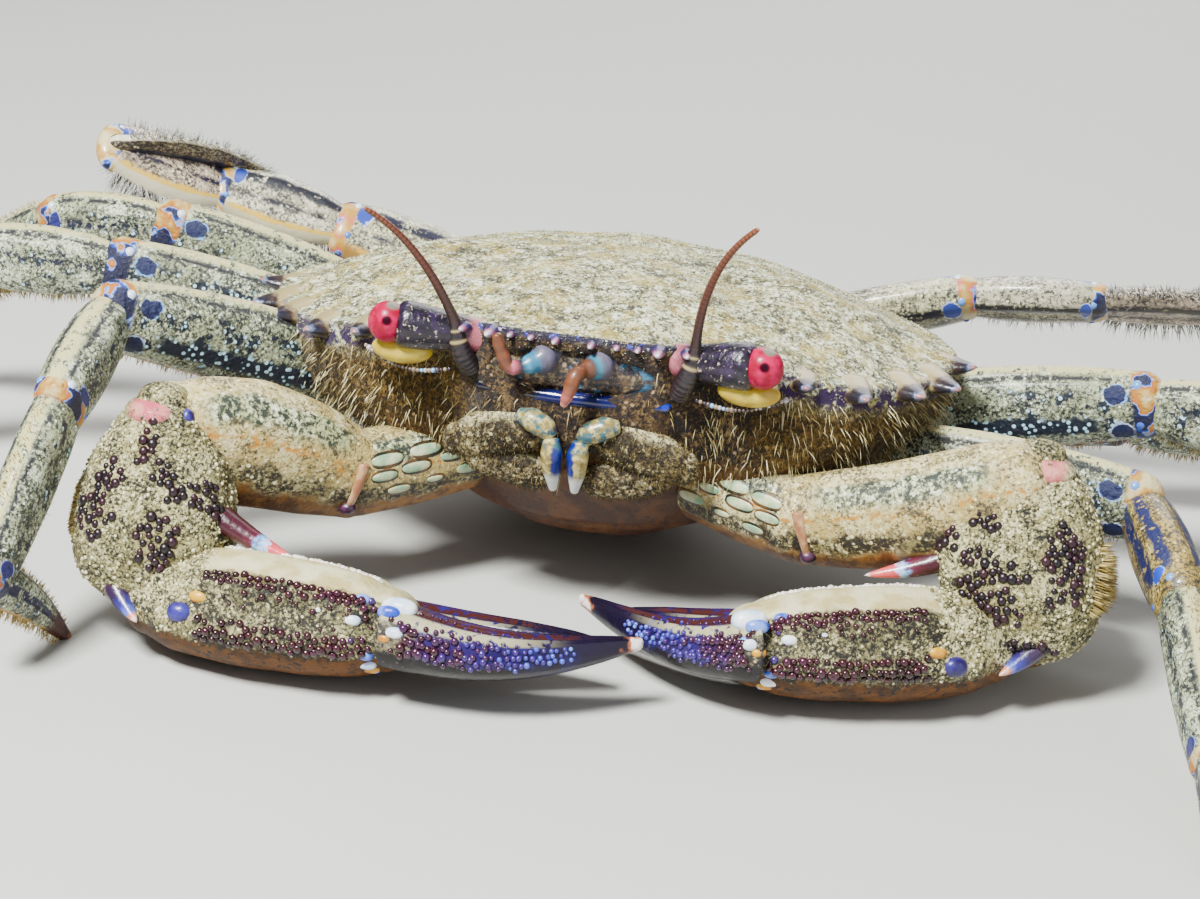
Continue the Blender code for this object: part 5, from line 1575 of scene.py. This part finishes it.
# %% Paints of the swimming legs and of the knees
def swimming_paint(name, top, back, line, belly, end):
    """Smooth cream joint of a swimming leg, striped along its faces."""
    paint = Paint(name, 0.42, coat=0.3)
    paint.colour = speckled(paint, top, tuple(0.6 * value for value in top), (0.035, 0.03, 0.025), 0.5, 0.3)
    paint.over(paint.step(paint.away(0.5), 0.16, 0.11), belly)
    for place, other in ((0.17, 0.36), (0.83, 0.64)):
        stripe(paint, place, 0.034, back, (0.06, 0.92), 0.06, 0.12)
        stripe(paint, (place + other) / 2, 0.01, back, (0.06, 0.92), 0.05, 0.3)
        stripe(paint, other, 0.016, line, (0.05, 0.95), 0.05, 0.1)
    for place in (0.17, 0.83):
        oval(paint, place, 0.93, 0.07, 0.05, (0.02, 0.05, 0.35), (0.45, 0.5, 0.7))
    paint.over(paint.step(paint.v, 0.97, 0.985), knee_colour(paint, end, 0.4))
    return paint.done(paint.grain(0.15, 0.5, 0.7, 4))


def paddle_paint():
    paint = Paint("paddle_striped", 0.4, coat=0.2)
    paint.colour = speckled(paint, (0.44, 0.38, 0.26), (0.22, 0.17, 0.1), (0.02, 0.016, 0.02), 0.5, 0.5)
    for place in (0.25, 0.75):
        stripe(paint, place, 0.085, (0.012, 0.012, 0.045), (0.06, 0.9), 0.05, 0.15)
        stripe(paint, place, 0.014, (0.03, 0.06, 0.26), (0.08, 0.85), worn=0.2)
    stripe(paint, 0, 0.05, (0.62, 0.56, 0.44), wander=0.02)
    stripe(paint, 0.5, 0.07, (0.55, 0.24, 0.02), wander=0.02)
    return paint.done(paint.grain(0.12, 0.5, 0.9, 4))


def fold_paint(name, skin, sea):
    """The thin skin of a knee, with patches of navy, blue and cream."""
    paint = Paint(name, 0.32, coat=0.2)
    paint.colour = knee_colour(paint, skin, sea)
    return paint.done(paint.grain(0.15, 0.5, 0.7, 3))


SWIM_PAINTS = [swimming_paint(f"swim_{joint}_cream", *colours) for joint, *colours in (
    ("merus", CREAM, (0.012, 0.012, 0.03), (0.55, 0.28, 0.03), (0.28, 0.15, 0.03), (0.56, 0.08, 0.1)),
    ("carpus", (0.6, 0.56, 0.4), (0.01, 0.01, 0.018), YELLOW, (0.44, 0.4, 0.26), (0.6, 0.34, 0.06)),
    ("propodus", (0.58, 0.46, 0.34), (0.01, 0.008, 0.025), YELLOW, (0.5, 0.45, 0.32), (0.6, 0.5, 0.3)),
)] + [paddle_paint()]
WALK_FOLD = fold_paint("joint_fold_orange", (0.38, 0.09, 0.004), 0.44)
SWIM_FOLD = fold_paint("joint_fold_pink", (0.48, 0.08, 0.06), 0.38)
KNOB_PAINT = bead_paint("knee_knobs", [
    (0, (0.55, 0.07, 0.09)), (0.3, (0.7, 0.28, 0.24)), (0.45, (0.01, 0.04, 0.42)), (0.7, SKY), (1, WHITE),
], 0.3)
print("swimming:", [paint.name for paint in SWIM_PAINTS])

# %% [markdown]
# Now each leg is rolled, joint by joint, from its points and shapes. A ball of skin fills each knee,
# and six small knobs of many colours stand round the end of each joint but the last.

# %% Legs
# Knobs: places round the joint, radii at a joint 7 mm wide, and shades.
KNOBS = np.array([(0.11, 0.65, 0.62), (0.31, 0.6, 0.5), (0.42, 0.4, 0.95), (0.58, 0.4, 0.1), (0.69, 0.6, 0.55),
                  (0.89, 0.65, 0.9)])
leg_joints, knobs = {}, []
for leg in LEG_POSES:
    swims, points = leg[0] == "5", leg_points(leg)
    shapes, paints = (SWIMMING_SHAPES, SWIM_PAINTS) if swims else (WALKING_SHAPES, WALK_PAINTS)
    folds = [egg("fold", points[0], (3.4, 3.4, 3.2), 12)]
    for i, joint in enumerate(JOINTS):
        start, end = points[i:i + 2]
        wide, flat = limb_ways(start, end, SWIM_TWIST[leg[2]] if swims else 0)
        bow = 0 if swims or joint in ("carpus", "propodus") else LEG_BOW
        form = on_floor(limb(start, end, wide, flat, shapes[i], wide * bow, 2.3, JOINT_RIDGES[i]))
        piece = roll(f"{joint}_shell_{leg}", 72, 80 if joint == "merus" else 56, form)
        finish(piece, BLUE_WRIST if (leg, joint) == ("2_l", "carpus") else paints[i], "legs", f"{joint}_{leg}")
        leg_joints[leg, joint] = piece
        if i:
            size = shapes[i][0][1] * (0.3 if swims else 0.4)
            folds.append(egg("fold", start, (size, size, size), 12))
        if joint != "dactyl":
            places, out = on_form(form, KNOBS[:, 0], np.full(6, 0.985), -0.4)
            knobs.append((places, KNOBS[:, 1] * shapes[i][-1][1] / 7, KNOBS[:, 2]))
    finish(join("joint_folds_" + leg, folds), SWIM_FOLD if swims else WALK_FOLD, "legs")
finish(beads("knee_knobs", *together(knobs)), KNOB_PAINT, "legs")

# %% [markdown]
# Hair. The velvet is too short to comb, but it breaks the outline, so the back gets thousands of
# tiny spikes. Longer cream bristles hang from the flanks, yellow-ochre ones fringe the legs, and
# grey-white hairs fringe the swimming legs, where they help the paddle push water. Each hair is a
# bent spike of three sides. Its own UV map, OFBake, keeps it in a patch at its root's place.

# %% Tools for hair
def sample(piece, count, seed, keep):
    """Random places on a piece: points, outward directions and their places on the Form map."""
    mesh = piece.data
    mesh.calc_loop_triangles()
    corners, loops = (read(mesh.loop_triangles, key, 3, np.int32) for key in ("vertices", "loops"))
    uv = read(mesh.uv_layers["Form"].data, "uv", 2)[loops]
    a, b, c = (read(mesh.vertices, "co", 3) / MM + MIDDLE)[corners].transpose(1, 0, 2)
    cross = np.cross(b - a, c - a)
    area = np.linalg.norm(cross, axis=1)
    out = cross / np.maximum(area, 1e-12)[:, None]
    weight = area * keep(out, *uv.mean(axis=1).T)
    draw = np.random.default_rng(seed)
    pick = draw.choice(len(area), count, p=weight / weight.sum())
    share = np.sort(draw.random((count, 2)), axis=1)
    share = np.stack([share[:, 0], share[:, 1] - share[:, 0], 1 - share[:, 1]], axis=1)
    place = np.einsum("ki,kij->kj", share, np.stack([a, b, c], axis=1)[pick])
    return place, out[pick], np.einsum("ki,kij->kj", share, uv[pick])


HAIR_FACES = np.array([(0, 1, 4), (0, 4, 3), (1, 2, 5), (1, 5, 4), (2, 0, 3), (2, 3, 5), (3, 4, 6), (4, 5, 6),
                       (5, 3, 6)])
SHORT_FACES = np.array([(0, 1, 3), (1, 2, 3), (2, 0, 3)])
PATCH = 0.0015


def hairs(name, roots, ways, uv, lengths, widths, seed, short=False, bend=0):
    """Bent spikes at roots, pointing along ways; bend is where their tips are drawn to."""
    draw = np.random.default_rng(seed)
    count, ways = len(roots), units(ways)
    side = units(np.cross(ways, draw.normal(size=(count, 3))))
    other = np.cross(ways, side)
    lengths, widths = (np.broadcast_to(size, (count,))[:, None] for size in (lengths, widths))
    rings, marks = [], []
    for level, share in [(-0.12, 1)] if short else [(-0.08, 1), (0.5, 0.72)]:
        middle = roots + ways * lengths * level + bend * lengths * max(level, 0) ** 2
        for angle in (0, TURN / 3, 2 * TURN / 3):
            rings.append(middle + (side * math.cos(angle) + other * math.sin(angle)) * widths * share / 2)
            marks.append((math.cos(angle) * share, math.sin(angle) * share))
    points = np.stack(rings + [roots + ways * lengths + bend * lengths], axis=1)
    points[..., 2] = np.maximum(points[..., 2], FLOOR_LIFT)
    piece = joined_copies(name, points, SHORT_FACES if short else HAIR_FACES, draw.random(count))
    marks = np.array(marks + [(0, 0)])
    corners = np.tile(marks, (count, 1)) * PATCH + np.repeat(uv, len(marks), axis=0)
    index = read(piece.data.loops, "vertex_index", kind=np.int32)
    piece.data.uv_layers.new(name="OFBake").data.foreach_set("uv", clamp(corners)[index].ravel())
    return piece


def hair_paint(name, *stops):
    paint = Paint(name, 0.6, specular=0.3)
    paint.colour = paint.ramp(paint.shade(), stops)
    return paint.done()


back_paint = Paint("hair_back", 0.85, specular=0.1)
back_colour(back_paint)
BACK_HAIR = back_paint.done()
MUD_HAIR = hair_paint("hair_mud", (0, (0.022, 0.013, 0.005)), (0.5, (0.1, 0.062, 0.016)), (0.8, (0.22, 0.15, 0.045)),
                      (1, (0.36, 0.28, 0.11)))
FLANK_HAIR = hair_paint("hair_flank", (0, (0.16, 0.11, 0.03)), (0.5, (0.44, 0.36, 0.16)), (1, (0.78, 0.72, 0.48)))
GREY_HAIR = hair_paint("hair_swim_fringe", (0, (0.2, 0.19, 0.18)), (0.5, (0.4, 0.39, 0.37)), (1, (0.66, 0.64, 0.6)))
OCHRE_HAIR = hair_paint("hair_leg_fringe", (0, (0.16, 0.1, 0.02)), (0.5, (0.4, 0.28, 0.07)), (1, (0.62, 0.52, 0.26)))
print("painted four colours of hair and the back's")

# %% [markdown]
# The back's velvet is combed backwards. Bristles and fur on the flanks hang down, thinner under the
# face, so that the mouth stays free.

# %% Hair of the body
DROOP = np.array([0.0, 0.0, -1.0])
COMB_BACK = np.array([0.0, -0.25, -0.05])
draw = np.random.default_rng(5)


def on_back(out, u, v):
    return (v > 0.03) & (v < 0.62)


def on_flank(out, u, v):
    return ((v > 0.63) & (v < 0.93)) * np.where(turns_apart(u, 0) < 0.1, 0.15, 1)


place, out, uv = sample(carapace, 24000, 21, on_back)
comb = out * 1.1 + COMB_BACK + draw.normal(0, 0.35, place.shape)
size = draw.uniform(0.12, 0.28, len(place))
finish(hairs("back_velvet", place, comb, uv, size, 0.14, 6, True), BACK_HAIR, "shell")
place, out, uv = sample(carapace, 2500, 22, on_flank)
comb = out + draw.normal(0, 0.25, place.shape) + DROOP * 0.35
size = draw.uniform(0.6, 2, len(place))
bristles = hairs("flank_bristles", place, comb, uv, size, 0.08 + 0.03 * size, 7, bend=DROOP * 0.3)
finish(bristles, FLANK_HAIR, "shell")
place, out, uv = sample(carapace, 9000, 23, on_flank)
comb = out * 0.6 + draw.normal(0, 0.3, place.shape) + DROOP * 0.6
size = draw.uniform(0.4, 0.9, len(place))
finish(hairs("flank_fur", place, comb, uv, size, 0.11, 8, True), MUD_HAIR, "shell")

# %% [markdown]
# The legs' fringes grow near their upper and lower edges, u 0 and 0.5. The wrists get a comb of
# ochre hairs on their outer side, and the mouth plates short fur.

# %% Hair of the legs and claws
UPPER, LOWER = 0, 0.5
SWIMMERS, WALKERS = ["5_r", "5_l"], [leg for leg in LEG_POSES if leg[0] != "5"]
FRINGES = [
    ("swim_fringe", SWIMMERS, JOINTS[1:], LOWER, 0.035, 420, (1.6, 3.2), 0.14, GREY_HAIR, 100),
    ("swim_upper_fringe", SWIMMERS, JOINTS[2:], UPPER, 0.03, 240, (0.8, 1.8), 0.13, GREY_HAIR, 120),
    ("leg_fringe", WALKERS, JOINTS[1:], LOWER, 0.03, 200, (0.6, 1.4), 0.12, OCHRE_HAIR, 140),
    ("leg_upper_fringe", WALKERS, JOINTS[2:], UPPER, 0.02, 120, (0.4, 0.8), 0.11, OCHRE_HAIR, 160),
    ("leg_merus_fringe", WALKERS, JOINTS[:1], LOWER, 0.04, 200, (0.4, 1), 0.12, OCHRE_HAIR, 180),
]
for name, legs, joints, edge, reach, count, lengths, width, paint, seed in FRINGES:
    near_edge = lambda out, u, v: (turns_apart(u, edge) < reach) & (v > 0.05) & (v < 0.97)
    parts = []
    for leg in legs:
        for joint in joints:
            place, out, uv = sample(leg_joints[leg, joint], count, seed, near_edge)
            comb = out + np.random.default_rng(seed).normal(0, 0.16, place.shape)
            size = np.random.default_rng(seed + 1).uniform(*lengths, count)
            parts.append(hairs("fringe", place, comb, uv, size, width, seed))
            seed += 1
    finish(join(name, parts), paint, "legs")

for side, mirror in SIDES.items():
    outer = lambda out, u, v: (out @ np.array([mirror, -0.3, 0]) > 0.94) & (v > 0.36) & (v < 0.62)
    place, out, uv = sample(bpy.data.objects["wrist_" + side], 480, 31, outer)
    size = draw.uniform(0.8, 1.5, len(place)) * (1 if side == "l" else 0.3)
    finish(hairs("wrist_comb_" + side, place, out + DROOP * 0.2, uv, size, 0.16, 9), OCHRE_HAIR, "claws")
    plates = bpy.data.objects["maxilliped_plates_" + side]
    place, out, uv = sample(plates, 1500, 32, lambda out, u, v: out[:, 1] < 0.3)
    size = draw.uniform(0.25, 0.6, len(place))
    comb = out + DROOP * 0.5 + draw.normal(0, 0.2, place.shape)
    finish(hairs("mouth_fur_" + side, place, comb, uv, size, 0.11, 10, True), MUD_HAIR, "mouthparts")

# %% [markdown]
# The model stands on a plain pale floor in soft studio light. One large lamp from above and in
# front is the main light, as in the photo, a wide one fills the shadows, and a third from behind
# draws a thin edge along the legs.

# %% Floor and light
floor = added(bpy.ops.mesh.primitive_plane_add, "studio_floor", size=4)
floor_paint = bpy.data.materials.new("floor_pale")
floor_paint.use_nodes = True
floor_shader = floor_paint.node_tree.nodes["Principled BSDF"]
floor_shader.inputs["Base Color"].default_value = (0.5, 0.49, 0.47, 1)
floor_shader.inputs["Roughness"].default_value = 0.85
floor.data.materials.append(floor_paint)

# Lamps: place, size in metres, watts and colour.
LIGHTS = {
    "key": ((-0.15, -0.28, 0.46), 0.12, 11, (0.97, 1, 0.96)),
    "fill": ((0.42, -0.3, 0.22), 0.5, 1.1, (0.93, 0.96, 1)),
    "edge": ((0.05, 0.42, 0.3), 0.4, 2.5, (1, 1, 1)),
}
LIT_POINT = Vector((0, 0, 0.02))
for name, (place, size, power, colour) in LIGHTS.items():
    lamp = added(bpy.ops.object.light_add, name, type="AREA", location=place)
    lamp.data.size, lamp.data.energy, lamp.data.color = size, power, colour
    lamp.rotation_euler = (LIT_POINT - Vector(place)).to_track_quat("-Z", "Y").to_euler()

world = bpy.data.worlds.new("studio")
bpy.context.scene.world = world
world.use_nodes = True
sky = world.node_tree.nodes["Background"]
sky.inputs["Color"].default_value = (0.9, 0.94, 1, 1)
sky.inputs["Strength"].default_value = 0.18
print("lights", list(LIGHTS))

# %% [markdown]
# The dressed animal has to lie in the box of the solids, give or take the length of a bristle.
